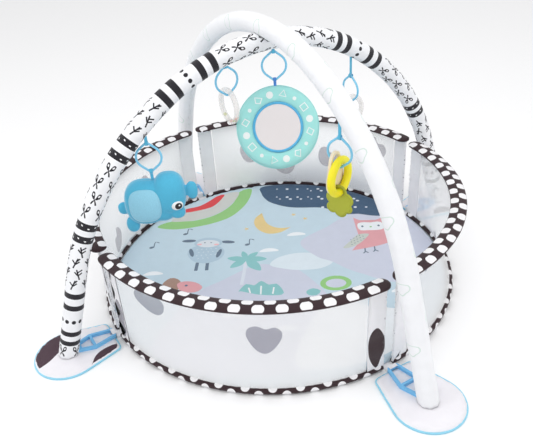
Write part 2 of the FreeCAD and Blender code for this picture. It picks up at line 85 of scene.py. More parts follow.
def speckled(tree, base, scale_mm, depth):
    """The base colour, a little lighter and darker in patches of about that size."""
    place = node(tree, "TexCoord", {}).outputs["Object"]
    patches = node(tree, "TexNoise", {"Vector": place, "Scale": 1000 / scale_mm, "Detail": 3.0})
    factor = calc(tree, "MULTIPLY_ADD", patches.outputs["Fac"], depth)
    factor.node.inputs[2].default_value = 1 - depth / 2
    scaled = node(tree, "VectorMath", {0: base, "Scale": factor}, operation="SCALE")
    return scaled.outputs[0]


def weave_bump(tree, thread_mm, height_mm):
    """Over-and-under threads along the piece's UV map, whose unit is a metre."""
    uv = node(tree, "UVMap", {}).outputs[0]
    split = node(tree, "SeparateXYZ", {0: uv})
    turns = 1000 * math.pi / thread_mm
    waves = [calc(tree, "SINE", calc(tree, "MULTIPLY", split.outputs[i], turns)) for i in (0, 1)]
    height = calc(tree, "MULTIPLY", *waves)
    creases = node(tree, "TexNoise", {"Vector": node(tree, "TexCoord", {}).outputs["Object"],
                                      "Scale": 28.0, "Detail": 4.0})
    height = calc(tree, "ADD", height, calc(tree, "MULTIPLY", creases.outputs["Fac"], 14.0))
    return node(tree, "Bump", {"Height": height, "Distance": height_mm * MM, "Strength": 0.6}).outputs[0]


def cloth(name, code, thread_mm=1.2, patch_mm=30.0, depth=0.07, sheen=0.25):
    """Plain woven polyester, dyed one colour."""
    material, tree, shader = new_material(name, Roughness=0.86, Sheen_Weight=sheen, Sheen_Roughness=0.5,
                                          Specular_IOR_Level=0.25)
    base = node(tree, "RGB", {})
    base.outputs[0].default_value = shade(code)
    tree.links.new(speckled(tree, base.outputs[0], patch_mm, depth), shader.inputs["Base Color"])
    tree.links.new(weave_bump(tree, thread_mm, 0.12), shader.inputs["Normal"])
    return material


def printed_cloth(name, thread_mm=1.2, sheen=0.2):
    """Woven polyester with a print: the print's colours are in the piece's own attribute."""
    material, tree, shader = new_material(name, Roughness=0.84, Sheen_Weight=sheen, Sheen_Roughness=0.5,
                                          Specular_IOR_Level=0.25)
    ink = node(tree, "Attribute", {}, attribute_name="ink")
    tree.links.new(speckled(tree, ink.outputs["Color"], 24.0, 0.08), shader.inputs["Base Color"])
    tree.links.new(weave_bump(tree, thread_mm, 0.12), shader.inputs["Normal"])
    return material


def deselect_all():
    bpy.ops.object.select_all(action="DESELECT")


deselect_all()
bpy.ops.object.camera_add()
camera = bpy.context.object
FIELD_UNIT = 0.45                        # the mat's radius over its walls
elevation, roll = math.radians(32.63), math.radians(-4.0)
place = Vector((-0.047, -3.118, 2.321)) * FIELD_UNIT
turn = Matrix.Rotation(PRINT_TURN, 4, "Z")
tilt = Matrix.Rotation(math.pi / 2 - elevation, 4, "X") @ Matrix.Rotation(roll, 4, "Z")
camera.matrix_world = turn @ Matrix.Translation(place) @ tilt
camera.data.lens = 44.3
bpy.context.scene.camera = camera

deselect_all()
bpy.ops.mesh.primitive_plane_add(size=30)
floor = bpy.context.object
floor.name = "studio_floor"
paint, tree, shader = new_material("matte studio paint", Roughness=0.9, Specular_IOR_Level=0.1)
shader.inputs["Base Color"].default_value = shade("fbfbfc")
floor.data.materials.append(paint)
floor.location.z = -0.0005

world = bpy.data.worlds.new("soft studio")
world.use_nodes = True
world.node_tree.nodes["Background"].inputs["Color"].default_value = shade("ffffff")
world.node_tree.nodes["Background"].inputs["Strength"].default_value = 0.82
bpy.context.scene.world = world
for name, spot, size, power in (("top_light", (0.3, -0.4, 2.6), 2.2, 22),
                                ("left_light", (-2.4, -1.6, 1.6), 1.6, 14),
                                ("right_light", (2.4, -1.2, 1.4), 1.6, 6)):
    lamp = bpy.data.objects.new(name, bpy.data.lights.new(name, "AREA"))
    lamp.data.size, lamp.data.energy = size, power
    lamp.location = spot
    lamp.rotation_euler = (-Vector(spot)).to_track_quat("-Z", "Y").to_euler()
    bpy.context.collection.objects.link(lamp)
bpy.context.scene.view_settings.view_transform = "Standard"

# ---------------------------------------------------------------- the padded mat
# A round play mat of printed brushed polyester over thin wadding, sewn to a plain base cloth.
# The print is a hill scene: clouds, a rainbow, a moon, a sheep, an owl, palms and bushes.
MAT_RADIUS = 434 * MM
MAT_TOP = 13 * MM
MAT_EDGE_ROUND = 10 * MM


def smooth_line(points, step, closed=True):
    """Points along the smooth curve through the given ones, evenly spaced."""
    points = [np.array(p, float) for p in points]
    count = len(points)
    line = []
    for i in range(count if closed else count - 1):
        if closed:
            a, b, c, d = (points[(i + k) % count] for k in (-1, 0, 1, 2))
        else:
            a, b, c, d = (points[min(max(i + k, 0), count - 1)] for k in (-1, 0, 1, 2))
        pieces = max(2, int(np.hypot(*(c - b)) / step))
        for j in range(pieces):
            t = j / pieces
            line.append(0.5 * (2 * b + (c - a) * t + (2 * a - 5 * b + 4 * c - d) * t * t
                               + (3 * b - a - 3 * c + d) * t ** 3))
    if not closed:
        line.append(points[-1])
    return line


def drift(u, v, across, up, layer):
    """Smooth noise over a cloth, from -1 to 1. Each layer differs."""
    return noise.noise(Vector((u * across, v * up, layer)))


def oval(x, y, wide, high=None, turn=0.0, count=20):
    """An oval's outline, from its half width and half height, turned in degrees."""
    high = wide if high is None else high
    c, s = math.cos(math.radians(turn)), math.sin(math.radians(turn))
    ring = []
    for i in range(count):
        a = 2 * math.pi * i / count
        u, v = wide * math.cos(a), high * math.sin(a)
        ring.append((x + c * u - s * v, y + s * u + c * v))
    return ring


def stroke(points, width, step=8.0):
    """The outline of a line of that width through the points."""
    line = smooth_line(points, step, closed=False)
    left, right = [], []
    for i, p in enumerate(line):
        along = line[min(i + 1, len(line) - 1)] - line[max(i - 1, 0)]
        side = np.array([-along[1], along[0]]) / (np.hypot(*along) + 1e-9) * width / 2
        left.append(p + side)
        right.append(p - side)
    return left + right[::-1]


def inside(points, outline):
    """Which points lie inside the outline."""
    x, y = points[:, 0], points[:, 1]
    result = np.zeros(len(points), bool)
    shape = np.array(outline, float)
    last = shape[-1]
    for p in shape:
        if p[1] != last[1]:
            crosses = (p[1] > y) != (last[1] > y)
            reach = (last[0] - p[0]) * (y - p[1]) / (last[1] - p[1]) + p[0]
            result ^= crosses & (x < reach)
        last = p
    return result


def printed_mesh(name, border, motifs, step, ground, spot, material):
    """A cloth cut to the border, in millimetres, with motifs printed on it as (outline, colour code).
    Later motifs lie over earlier ones. spot(u, v) gives where each point of the cloth lies."""
    border = [tuple(p) for p in border]
    points, edges = [], []

    def add_loop(loop):
        first = len(points)
        points.extend((float(p[0]), float(p[1])) for p in loop)
        edges.extend((first + i, first + (i + 1) % len(loop)) for i in range(len(loop)))

    add_loop(border)
    for outline, _ in motifs:
        add_loop(outline)
    drawn = np.array(points)
    low, high = np.array(border).min(0), np.array(border).max(0)
    xs = np.arange(low[0] + step / 2, high[0], step)
    ys = np.arange(low[1] + step / 2, high[1], step)
    grid = np.array([(x + step / 4 * (-1) ** j, y) for j, y in enumerate(ys) for x in xs])
    grid = grid[inside(grid, border)]
    keep = np.ones(len(grid), bool)
    for start in range(0, len(drawn), 400):
        part = drawn[start:start + 400]
        gap = ((grid[:, None, :] - part[None, :, :]) ** 2).sum(-1).min(1)
        keep &= gap > (0.45 * step) ** 2
    points.extend(map(tuple, grid[keep]))
    verts, _, faces, *_ = geometry.delaunay_2d_cdt([Vector(p) for p in points], edges, [], 1, 1e-4)
    flat = np.array([tuple(v) for v in verts])
    faces = [tuple(f) for f in faces]
    middles = np.array([flat[list(f)].mean(0) for f in faces])
    inks = np.tile(np.array(shade(ground)), (len(faces), 1))
    for outline, code in motifs:
        inks[inside(middles, outline)] = shade(code)
    mesh = bpy.data.meshes.new(name)
    mesh.from_pydata([spot(u, v) for u, v in flat], [], faces)
    uv = mesh.uv_layers.new(name="UVMap")
    ink = mesh.color_attributes.new("ink", "FLOAT_COLOR", "CORNER")
    corners = np.array([c for f in faces for c in f])
    uv.data.foreach_set("uv", (flat[corners] * MM).astype(np.float32).ravel())
    sizes = np.array([len(f) for f in faces])
    ink.data.foreach_set("color", np.repeat(inks, sizes, axis=0).astype(np.float32).ravel())
    mesh.materials.append(material)
    piece = bpy.data.objects.new(name, mesh)
    bpy.context.collection.objects.link(piece)
    for polygon in mesh.polygons:
        polygon.use_smooth = True
    return piece


def mat_spot(u, v):
    """The mat's face: wavy where the wadding has settled, and rounded down at the edge."""
    reach = math.hypot(u, v) * MM
    inset = reach - (MAT_RADIUS - MAT_EDGE_ROUND)
    drop = 0.0
    if inset > 0:
        drop = MAT_EDGE_ROUND * (1 - math.sqrt(max(0.0, 1 - min(inset / MAT_EDGE_ROUND, 1) ** 2)))
    wave = 1.6 * MM * (0.5 + 0.5 * drift(u, v, 0.011, 0.011, 0.3))
    wave += 0.5 * MM * (0.5 + 0.5 * drift(u, v, 0.035, 0.02, 4.0))
    c, s = math.cos(PRINT_TURN), math.sin(PRINT_TURN)
    return ((c * u - s * v) * MM, (s * u + c * v) * MM, MAT_TOP - drop - wave * (1 if inset < 0 else 0.6))


def shell_down(piece, low):
    """Closes a cloth face into a pad: its border goes down to the base, which is filled in."""
    deselect_all()
    bpy.context.view_layer.objects.active = piece
    form = bmesh.new()
    form.from_mesh(piece.data)
    rim = [edge for edge in form.edges if edge.is_boundary]
    side = bmesh.ops.extrude_edge_only(form, edges=rim)["geom"]
    fresh = [part for part in side if isinstance(part, bmesh.types.BMVert)]
    for vert in fresh:
        vert.co.z = low
    ends = [part for part in side if isinstance(part, bmesh.types.BMEdge)
            and all(v.co.z == low or v in fresh for v in part.verts)]
    bmesh.ops.contextual_create(form, geom=ends)
    bmesh.ops.recalc_face_normals(form, faces=form.faces)
    form.to_mesh(piece.data)
    form.free()


def curved(points, step=10.0):
    return smooth_line(points, step)


GREEN, RED, GREY, NAVY, LAVENDER = "97cc82", "e0454a", "cfd1cd", "3f5b78", "cfd3e3"
PALE, LAKE, MOON, SHEEP, DARK = "eef2f6", "dfeaf2", "e6cc90", "b4cbdb", "66788c"
TEAL, OWL, WING, PINK, WHITE = "8ec6c8", "e3a5ab", "c9cfc9", "efb9bd", "f2f2f4"
rainbow = [
    (curved([(-342, 223), (-293, 205), (-230, 209), (-173, 225), (-119, 260), (-76, 330), (-61, 408),
             (-99, 396), (-120, 329), (-168, 272), (-232, 244), (-303, 248)]), GREEN),
    (curved([(-303, 250), (-232, 246), (-168, 274), (-122, 329), (-101, 393), (-144, 388), (-170, 330),
             (-202, 305), (-262, 291)]), GREY),
    (curved([(-262, 293), (-202, 307), (-172, 330), (-146, 386), (-171, 378), (-191, 355), (-223, 326),
             (-264, 312)]), RED),
]
hills = [
    (curved([(-300, -300), (-255, -170), (-205, -95), (-146, -54), (-75, -6), (-31, 3), (20, -20),
             (57, -36), (120, -150), (150, -300), (40, -395), (-180, -385)]), LAVENDER),
    (curved([(-20, -3), (20, -24), (59, -33), (112, -32), (148, -5), (120, 30), (60, 44),
             (5, 30)]), LAKE),
    (curved([(69, 96), (151, 163), (197, 201), (300, 250), (420, 160), (400, -40), (300, -110), (214, -66),
             (178, -40), (142, -4), (105, 23)]), LAVENDER),
    (curved([(120, -150), (200, -190), (330, -240), (250, -340), (120, -390), (20, -360)]), PALE),
]
night = [
    (curved([(-33, 412), (-31, 378), (-22, 346), (0, 314), (54, 283), (145, 268), (184, 243), (218, 221),
             (247, 220), (298, 202), (380, 200), (330, 290), (210, 380), (90, 421),
             (10, 424)]), NAVY),
]
for i in range(46):
    x = 10 + (i * 67) % 300
    y = 250 + (i * 41) % 160
    if y > 322 - 0.36 * x and math.hypot(x, y) < 410:
        night.append((oval(x, y, 3 + i % 3, count=8), "dfe6ee"))
crescent = smooth_line([(-33, 261), (-53, 235), (-57, 203), (-44, 169), (-17, 148), (16, 151),
                        (47, 173)], 6, closed=False)
crescent += smooth_line([(47, 173), (18, 173), (-6, 185), (-23, 210), (-33, 261)], 6, closed=False)[1:-1]
moon = [(crescent, MOON)]
for x, y in ((60, 240), (92, 214), (-80, 180)):
    points = [(x + (9 if k % 2 else 3.5) * math.cos(math.pi * k / 5),
               y + (9 if k % 2 else 3.5) * math.sin(math.pi * k / 5))
              for k in range(10)]
    moon.append((points, MOON))
sheep = [
    (stroke([(-214, 32), (-217, -5)], 9), DARK),
    (stroke([(-187, 30), (-188, -6)], 9), DARK),
    (curved([(-240, 62), (-244, 84), (-232, 104), (-206, 112), (-172, 108), (-148, 92), (-142, 66),
             (-156, 40), (-190, 26), (-224, 38)], 8), SHEEP),
    (oval(-243, 138, 20, 7, -4), DARK),
    (oval(-133, 120, 20, 7, -10), DARK),
    (oval(-188, 122, 40, 26, -5), SHEEP),
    (oval(-188, 118, 32, 18, -5), "dde3ea"),
    (oval(-213, 117, 7, 4), PINK),
    (oval(-165, 111, 7, 4), PINK),
    (oval(-198, 124, 2.4, 2.4, count=8), DARK),
    (oval(-180, 122, 2.4, 2.4, count=8), DARK),
    (oval(-233, 80, 6, 20, 12), DARK),
    (oval(-157, 68, 6, 20, -16), DARK),
]
for i in range(18):
    x, y = -218 + 13 * (i % 5) + 5 * (i // 5 % 2), 92 - 14 * (i // 5)
    sheep.append((oval(x, y, 3.4, 1.3, 40 * i, 8), "d6e2ea"))
palm = []
for x, y in ((-92, 70), (-50, 62), (-134, 42), (-27, 27), (-126, -2), (-45, -24)):
    mid = ((x - 82) / 2 + (y - 32) * 0.22, (y + 32) / 2 - (x + 82) * 0.22)
    other = ((x - 82) / 2 - (y - 32) * 0.22, (y + 32) / 2 + (x + 82) * 0.22)
    palm.append((curved([(-82, 32), mid, (x, y), other], 6), TEAL))
palm.insert(0, (stroke([(-84, 26), (-88, -20), (-96, -78)], 9), "dbe1ec"))
bush = [
    (curved([(-104, -104), (-84, -76), (-64, -84), (-45, -68), (-26, -86), (-7, -84), (8, -112), (4, -130),
             (-48, -124), (-98, -104)], 8), TEAL),
    (stroke([(-48, -122), (-46, -88)], 4), WHITE),
    (stroke([(-74, -114), (-78, -92)], 4), WHITE),
    (stroke([(-18, -124), (-14, -98)], 4), WHITE),
]
fox = [
    (curved([(-300, -52), (-282, -30), (-262, -36), (-250, -60), (-262, -84), (-292, -80)], 8), "a98a7c"),
    (curved([(-262, -56), (-242, -48), (-214, -56), (-196, -78), (-214, -96), (-250, -88)], 8), OWL),
    (curved([(-318, -70), (-296, -60), (-286, -84), (-300, -104), (-322, -96)], 8), GREEN),
    (oval(-238, -66, 4, 4, count=8), DARK),
]
owl = [
    (stroke([(240, 50), (238, 28), (232, 22)], 3.5), DARK),
    (stroke([(238, 30), (246, 22)], 3.5), DARK),
    (stroke([(266, 52), (265, 32), (259, 26)], 3.5), DARK),
    (stroke([(265, 34), (273, 26)], 3.5), DARK),
    ([(231, 200), (246, 184), (292, 180), (312, 190)] + smooth_line([(318, 150), (328, 110), (322, 74),
                                                                     (290, 56), (250, 46),
                                                                     (204, 38)], 8, closed=False)
     + smooth_line([(226, 70), (232, 110), (231, 150)], 8, closed=False), OWL),
    (curved([(240, 168), (258, 172), (276, 168), (296, 171), (310, 160), (308, 134), (288, 128), (262, 130),
             (242, 132), (236, 150)], 7), PALE),
    (curved([(262, 112), (250, 92), (226, 66), (198, 52), (182, 54), (206, 84), (232, 112)], 8), WING),
    (oval(250, 151, 3.4, 4.4, count=10), DARK),
    (oval(296, 150, 3.4, 4.4, count=10), DARK),
    (oval(273, 146, 3.4, 3.4, count=10), GREEN),
]
for i in range(14):
    x, y = 208 + 9 * (i % 5), 66 + 12 * (i // 5) + 6 * (i % 5)
    owl.append((oval(x, y, 2.6, 1.1, 50 * i, 8), DARK))
ring = [
    (oval(143, -98, 40, 30), GREEN),
    (oval(143, -99, 26, 18), LAVENDER),
    (curved([(66, -122), (84, -112), (102, -124), (90, -140), (70, -138)], 8), TEAL),
]
notes = []
for x, y in ((-256, 175), (-347, 118), (-79, 101)):
    notes += [(oval(x, y, 7, 5, 20, 12), DARK),
              (stroke([(x + 6, y), (x + 8, y + 26), (x + 20, y + 20)], 3), DARK)]
tufts = []
for x, y in ((-330, -10), (-120, -200), (10, -260), (180, -260), (300, -150), (330, 40), (-20, 60),
             (60, 130)):
    tufts.append((curved([(x - 26, y), (x - 16, y + 12), (x, y + 16), (x + 18, y + 11), (x + 26, y)], 8),
                  PALE))
mat_print = hills + rainbow + night + moon + tufts + notes + palm + bush + fox + sheep + owl + ring
mat_cut = oval(0, 0, MAT_RADIUS / MM - 0.5, count=180)
mat_print = [m for m in mat_print if max(math.hypot(*p) for p in m[0]) < MAT_RADIUS / MM - 3
             or len(m[0]) > 40]


def trimmed(outline, reach):
    """The outline with what lies past that distance from the mat's centre pulled in to it."""
    pulled = []
    for p in outline:
        far = math.hypot(*p)
        scale = min(1.0, reach / far) if far else 1.0
        pulled.append((p[0] * scale, p[1] * scale))
    return pulled


mat_print = [(trimmed(outline, MAT_RADIUS / MM - 6), code) for outline, code in mat_print]
mat_cloth = printed_cloth("brushed printed polyester")
mat_cover = printed_mesh("mat_cover", mat_cut, mat_print, 9.0, "c6dae6", mat_spot, mat_cloth)
shell_down(mat_cover, 1.55 * MM)
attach(mat_cover, "root")
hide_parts("mat_top_sheet", "mat_wadding")

base_cloth = cloth("plain base polyester", "dfe1e6")


def finish_node(name, material):
    """Gives a part that came ready-made its material."""
    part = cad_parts[name]
    part.data.materials.clear()
    part.data.materials.append(material)
    return part


finish_node("mat_base_sheet", base_cloth)

# ---------------------------------------------------------------- the folding walls
# Each wall is a loop of spring wire with white netting stretched across it. The netting is drawn
# in at its middle, because the bowed wire pulls it tight from its four edges.
WALL_RADIUS = 442.0
RIM_BOTTOM = 233.5
NET_LOW, NET_END, NET_PULL = 12.0, 291.0, 42.0
WALLS = {"front": -90, "right": 0, "back": 90, "left": 180}
SPOT, NIGHT_BROWN = "9b99a2", "3a2a2e"


def netting(name):
    """Warp-knitted netting. Its holes are finer than the eye can part from here, so they are drawn
    three millimetres apart, and the cloth behind shows through them."""
    material, tree, shader = new_material(name, Roughness=0.8, Sheen_Weight=0.3, Specular_IOR_Level=0.2)
    ink = node(tree, "Attribute", {}, attribute_name="ink").outputs["Color"]
    tree.links.new(speckled(tree, ink, 60.0, 0.04), shader.inputs["Base Color"])
    uv = node(tree, "UVMap", {}).outputs[0]
    split = node(tree, "SeparateXYZ", {0: uv})
    across, up = split.outputs[0], split.outputs[1]
    turns = 1000 * math.pi / 3.0
    slant = calc(tree, "ADD", across, calc(tree, "MULTIPLY", up, 0.5))
    other = calc(tree, "SUBTRACT", across, calc(tree, "MULTIPLY", up, 0.5))
    waves = [calc(tree, "ABSOLUTE", calc(tree, "SINE", calc(tree, "MULTIPLY", line, turns)))
             for line in (slant, other)]
    hole = calc(tree, "MULTIPLY", *waves)
    solid = node(tree, "MapRange", {0: hole, 1: 0.35, 2: 0.75, 3: 0.92, 4: 0.38})
    tree.links.new(solid.outputs[0], shader.inputs["Alpha"])
    return material


def turned_to(piece, degrees):
    piece.data.transform(Matrix.Rotation(math.radians(degrees), 4, "Z"))


def heart(x, y, size, turn=0.0):
    """A plump two-lobed blob."""
    points = [(0.04, -0.86), (0.56, -0.6), (0.94, 0.0), (0.94, 0.5), (0.56, 0.8), (0.08, 0.62),
              (-0.4, 0.84), (-0.86, 0.6), (-0.98, 0.04), (-0.52, -0.62)]
    c, s = math.cos(math.radians(turn)), math.sin(math.radians(turn))
    return smooth_line([(x + size * (c * a - s * b), y + size * (s * a + c * b)) for a, b in points], 6)


def rectangle(low, high, step):
    """An upright rectangle's outline, with points along its sides."""
    corners = [(low[0], low[1]), (high[0], low[1]), (high[0], high[1]), (low[0], high[1])]
    line = []
    for (x1, y1), (x2, y2) in zip(corners, corners[1:] + corners[:1]):
        pieces = max(1, round(math.hypot(x2 - x1, y2 - y1) / step))
        line += [(x1 + (x2 - x1) * i / pieces, y1 + (y2 - y1) * i / pieces) for i in range(pieces)]
    return line


def net_spot(u, v):
    across, up = u / NET_END, (v - NET_LOW) / (RIM_BOTTOM + 1 - NET_LOW)
    pull = NET_PULL * (1 - across ** 4) * math.sin(math.pi * min(max(up, 0), 1))
    fade = (1 - across ** 2) * math.sin(math.pi * min(max(up, 0), 1))
    creases = 2.4 * math.sin(0.05 * u + 0.032 * v) * drift(u, v, 0.006, 0.01, 1.0)
    creases += 3.0 * noise.noise(Vector((u * 0.02 + v * 0.012, v * 0.007, 7.0)))
    reach = (WALL_RADIUS - pull + fade * creases) * MM
    a = u / WALL_RADIUS
    return (reach * math.cos(a), reach * math.sin(a), v * MM)


wall_spots = {
    "front": [(heart(-208, 158, 42, 8), SPOT), (heart(72, 118, 42, -4), SPOT)],
    "right": [(heart(-145, 165, 37, 20), SPOT), (heart(60, 90, 34, -30), SPOT)],
    "back": [(heart(-232, 178, 36, 30), SPOT), (heart(-80, 128, 36, 30), SPOT),
             (heart(66, 84, 34, -10), SPOT), (heart(180, 140, 36, 15), SPOT)],
    "left": [(heart(120, 120, 36, -15), SPOT), (heart(-130, 150, 36, 40), SPOT)],
}
net_cloth = netting("warp-knitted polyester netting")
net_cut = rectangle((-NET_END, NET_LOW), (NET_END, RIM_BOTTOM + 1), 9.0)
for wall, turn in WALLS.items():
    net = printed_mesh(wall + "_net", net_cut, wall_spots[wall], 10.0, "f4f4f5", net_spot, net_cloth)
    turned_to(net, turn)
    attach(net, wall + "_wall")
    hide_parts(wall + "_mesh")

# ---------------------------------------------------------------- the spotted tapes
# Two strips of dark cotton tape with white spots are sewn together along a raised seam and folded
# over the rim's wire. The same tape is rolled round the wire at the hem.
TAPE_HALF = 18.5
TAPE_EDGE, TAPE_CROWN = 4.0, 5.5
TAPE_END = math.radians(44.0) * WALL_RADIUS - TAPE_HALF
SPOT_RADIUS, SPOT_PITCH = 12.0, 45.0
TAPE_SPOT = "efeef0"
HEM_RADIUS, HEM_HEIGHT = 7.0, 8.5
tape_cloth = printed_cloth("spotted cotton tape", thread_mm=1.6, sheen=0.1)


def clipped(outline, low, high):
    """The outline held between two heights."""
    return [(x, min(max(y, low), high)) for x, y in outline]


def rim_spot(u, v):
    past = max(0.0, abs(u) - TAPE_END)
    off_seam = min(math.hypot(past, v) / TAPE_HALF, 1.0)
    ridge = 0.7 * math.exp(-(v / 1.3) ** 2) if past == 0 else 0.0
    soft = 0.5 * drift(u, v, 0.05, 0.09, 2.0) * (1 - off_seam)
    height = RIM_BOTTOM + TAPE_EDGE + (TAPE_CROWN - 1) * (1 - off_seam ** 2) + ridge + soft
    a, reach = u / WALL_RADIUS, (WALL_RADIUS + v) * MM
    return (reach * math.cos(a), reach * math.sin(a), height * MM)


def stadium(half_length, radius, step):
    line = [(-half_length + i * step, -radius) for i in range(int(2 * half_length / step))]
    line += [(half_length + radius * math.cos(a), radius * math.sin(a))
             for a in np.linspace(-math.pi / 2, math.pi / 2, 15)]
    line += [(half_length - i * step, radius) for i in range(1, int(2 * half_length / step))]
    return line + [(-half_length - radius * math.cos(a), radius * math.sin(a))
                   for a in np.linspace(math.pi / 2, -math.pi / 2, 15)[:-1]]


rim_dots = []
for i in range(-7, 8):
    for side in (-1, 1):
        x = i * SPOT_PITCH + (0.5 * SPOT_PITCH if side > 0 else 0) + 4
        if abs(x) < TAPE_END + 8:
            low, high = (0.5, TAPE_HALF - 0.4) if side > 0 else (-TAPE_HALF + 0.4, -0.5)
            rim_dots.append((clipped(oval(x, side * 10.5, SPOT_RADIUS, count=24), low, high), TAPE_SPOT))
rim_cut = stadium(TAPE_END, TAPE_HALF, 6.0)
HEM_ROUND = 2 * math.pi * HEM_RADIUS
hem_end = math.radians(44.0) * WALL_RADIUS - HEM_RADIUS


def hem_spot(u, v):
    a, around = u / WALL_RADIUS, v / HEM_RADIUS
    thin = HEM_RADIUS - 0.3 + 0.3 * math.sin(u * 0.35 + 2 * math.sin(around))
    reach = (WALL_RADIUS + thin * math.cos(around)) * MM
    return (reach * math.cos(a), reach * math.sin(a), (HEM_HEIGHT + thin * math.sin(around)) * MM)


def joined(piece, gap_mm=0.05, close=False):
    """Sews the cloth's meeting edges into one, and closes its ends where asked."""
    form = bmesh.new()
    form.from_mesh(piece.data)
    bmesh.ops.remove_doubles(form, verts=form.verts, dist=gap_mm * MM)
    if close:
        bmesh.ops.holes_fill(form, edges=[e for e in form.edges if e.is_boundary], sides=0)
    bmesh.ops.recalc_face_normals(form, faces=form.faces)
    form.to_mesh(piece.data)
    form.free()


hem_dots = []
for i in range(-11, 12):
    y = HEM_ROUND * (0.27 if i % 2 else 0.93) % HEM_ROUND
    for shift in (-HEM_ROUND, 0, HEM_ROUND):
        if -8 < y + shift < HEM_ROUND + 8:
            dot = clipped(oval(i * 29.0, y + shift, 9.5, count=20), 0.0, HEM_ROUND)
            hem_dots.append((dot, TAPE_SPOT))
hem_cut = rectangle((-hem_end, 0), (hem_end, HEM_ROUND), 4.0)
for wall, turn in WALLS.items():
    tape = printed_mesh(wall + "_rim_binding", rim_cut, rim_dots, 6.0, NIGHT_BROWN, rim_spot, tape_cloth)
    shell_down(tape, RIM_BOTTOM * MM)
    hem = printed_mesh(wall + "_hem_binding", hem_cut, hem_dots, 5.0, NIGHT_BROWN, hem_spot, tape_cloth)
    joined(hem, close=True)
    for piece, node_name in ((tape, "_rim_tape"), (hem, "_hem_tape")):
        turned_to(piece, turn)
        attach(piece, wall + "_wall")
        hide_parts(wall + node_name)

# ---------------------------------------------------------------- the walls' woven ends
# At each end of a wall a strip of plain woven cloth is folded round the upright wire and sewn
# down beside it. Some of the strips carry a printed blob.
POST_FROM = math.radians(38.0) * WALL_RADIUS
CASING_AT = math.radians(43.14) * WALL_RADIUS
CASING_RADIUS = 3.2
POST_LOW, POST_HIGH = 9.0, 233.4
flat_run = CASING_AT - POST_FROM
post_loop = 2 * flat_run + math.pi * CASING_RADIUS


def post_spot(u, v):
    """u goes along the outer ply, round the wire's casing and back along the inner ply."""
    folds = 0.5 * math.sin(v * 0.12) + 0.9 * drift(u, v, 0.04, 0.02, 5.0)
    if u < flat_run:
        along, off = POST_FROM + u, 1.1
    elif u < flat_run + math.pi * CASING_RADIUS:
        t = (u - flat_run) / CASING_RADIUS
        along, off = CASING_AT + CASING_RADIUS * math.sin(t), CASING_RADIUS * math.cos(t)
    else:
        along, off = POST_FROM + (post_loop - u), -1.1
    near = max(0.0, 1 - abs(along - CASING_AT) / 6.0)
    side = 1 if off >= 0 else -1
    off = side * max(abs(off), 1.1 + near * (CASING_RADIUS - 1.1))
    taper = min(1.0, (v - POST_LOW) / 14, (POST_HIGH - v) / 14)
    a, reach = along / WALL_RADIUS, (WALL_RADIUS + 0.6 + off + folds * taper) * MM
    return (reach * math.cos(a), reach * math.sin(a), v * MM)


post_cloth = printed_cloth("plain woven border polyester")
post_cut = rectangle((0, POST_LOW), (post_loop, POST_HIGH), 6.0)
post_blobs = {("front", 1): (26, 72, NIGHT_BROWN), ("front", -1): (22, 74, SPOT),
              ("back", -1): (20, 139, SPOT),
              ("right", 1): (24, 120, SPOT), ("left", -1): (22, 76, NIGHT_BROWN),
              ("back", 1): (20, 96, NIGHT_BROWN)}
for wall, turn in WALLS.items():
    for side in (-1, 1):
        blobs = []
        if (wall, side) in post_blobs:
            x, y, ink = post_blobs[wall, side]
            blobs = [(smooth_line([(x - 22, y + 42), (x - 24, y - 12), (x - 4, y - 56), (x + 12, y - 18),
                                   (x + 14, y + 22),
                                   (x - 4, y + 56)], 5), ink)]
            blobs = [([(max(0.6, p[0]), p[1]) for p in outline], ink) for outline, ink in blobs]
        border = printed_mesh(f"{wall}_border_{'right' if side > 0 else 'left'}", post_cut, blobs, 7.0,
                              "f1f1f4",
                              post_spot, post_cloth)
        joined(border, close=True)
        if side < 0:
            border.data.transform(Matrix.Scale(-1, 4, (0, 1, 0)))
            border.data.flip_normals()
        turned_to(border, turn)
        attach(border, wall + "_wall")
        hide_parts(wall + "_end_borders")


def two_toned(name, first, second, patch_mm, depth, **surface):
    """A smooth material of a colour between the two, in patches."""
    material, tree, shader = new_material(name, **surface)
    base = blend_colour(tree, 0.5, shade(first), shade(second))
    tree.links.new(speckled(tree, base, patch_mm, depth), shader.inputs["Base Color"])
    return material


steel = two_toned("drawn spring steel", "a8abb0", "98999e", 5.0, 0.1,
                  Metallic=1.0, Roughness=0.35)
for wall in WALLS:
    finish_node(wall + "_spring_wire", steel)

# ---------------------------------------------------------------- the padded arches
# Two sprung poles cross over the mat inside quilted cloth sleeves. One sleeve is white with faint
# cloud outlines. The other has a black print of bands, dots, twigs and loops. Their seams lie inside.
FOOT_REACH, LEG_ANGLE = 570.0, math.radians(72.5)
CROWN_RADIUS, CROWN_HALF = 468.0, math.radians(31.2)
PRINT_APEX, WHITE_APEX = 610.0, 642.0
PRINT_SIDE, WHITE_SIDE = 45.0, -45.0
SLEEVE_RADIUS, SLEEVE_HEM, SLEEVE_CLOTH = 22.0, 9.0, 1.2
SLEEVE_GROUND = "f1f2f5"
TOUCHES_SLEEVE = 20.5                    # a ribbon this near an arch's centreline is in its seam
SLEEVE_ROUND = 2 * math.pi * SLEEVE_RADIUS


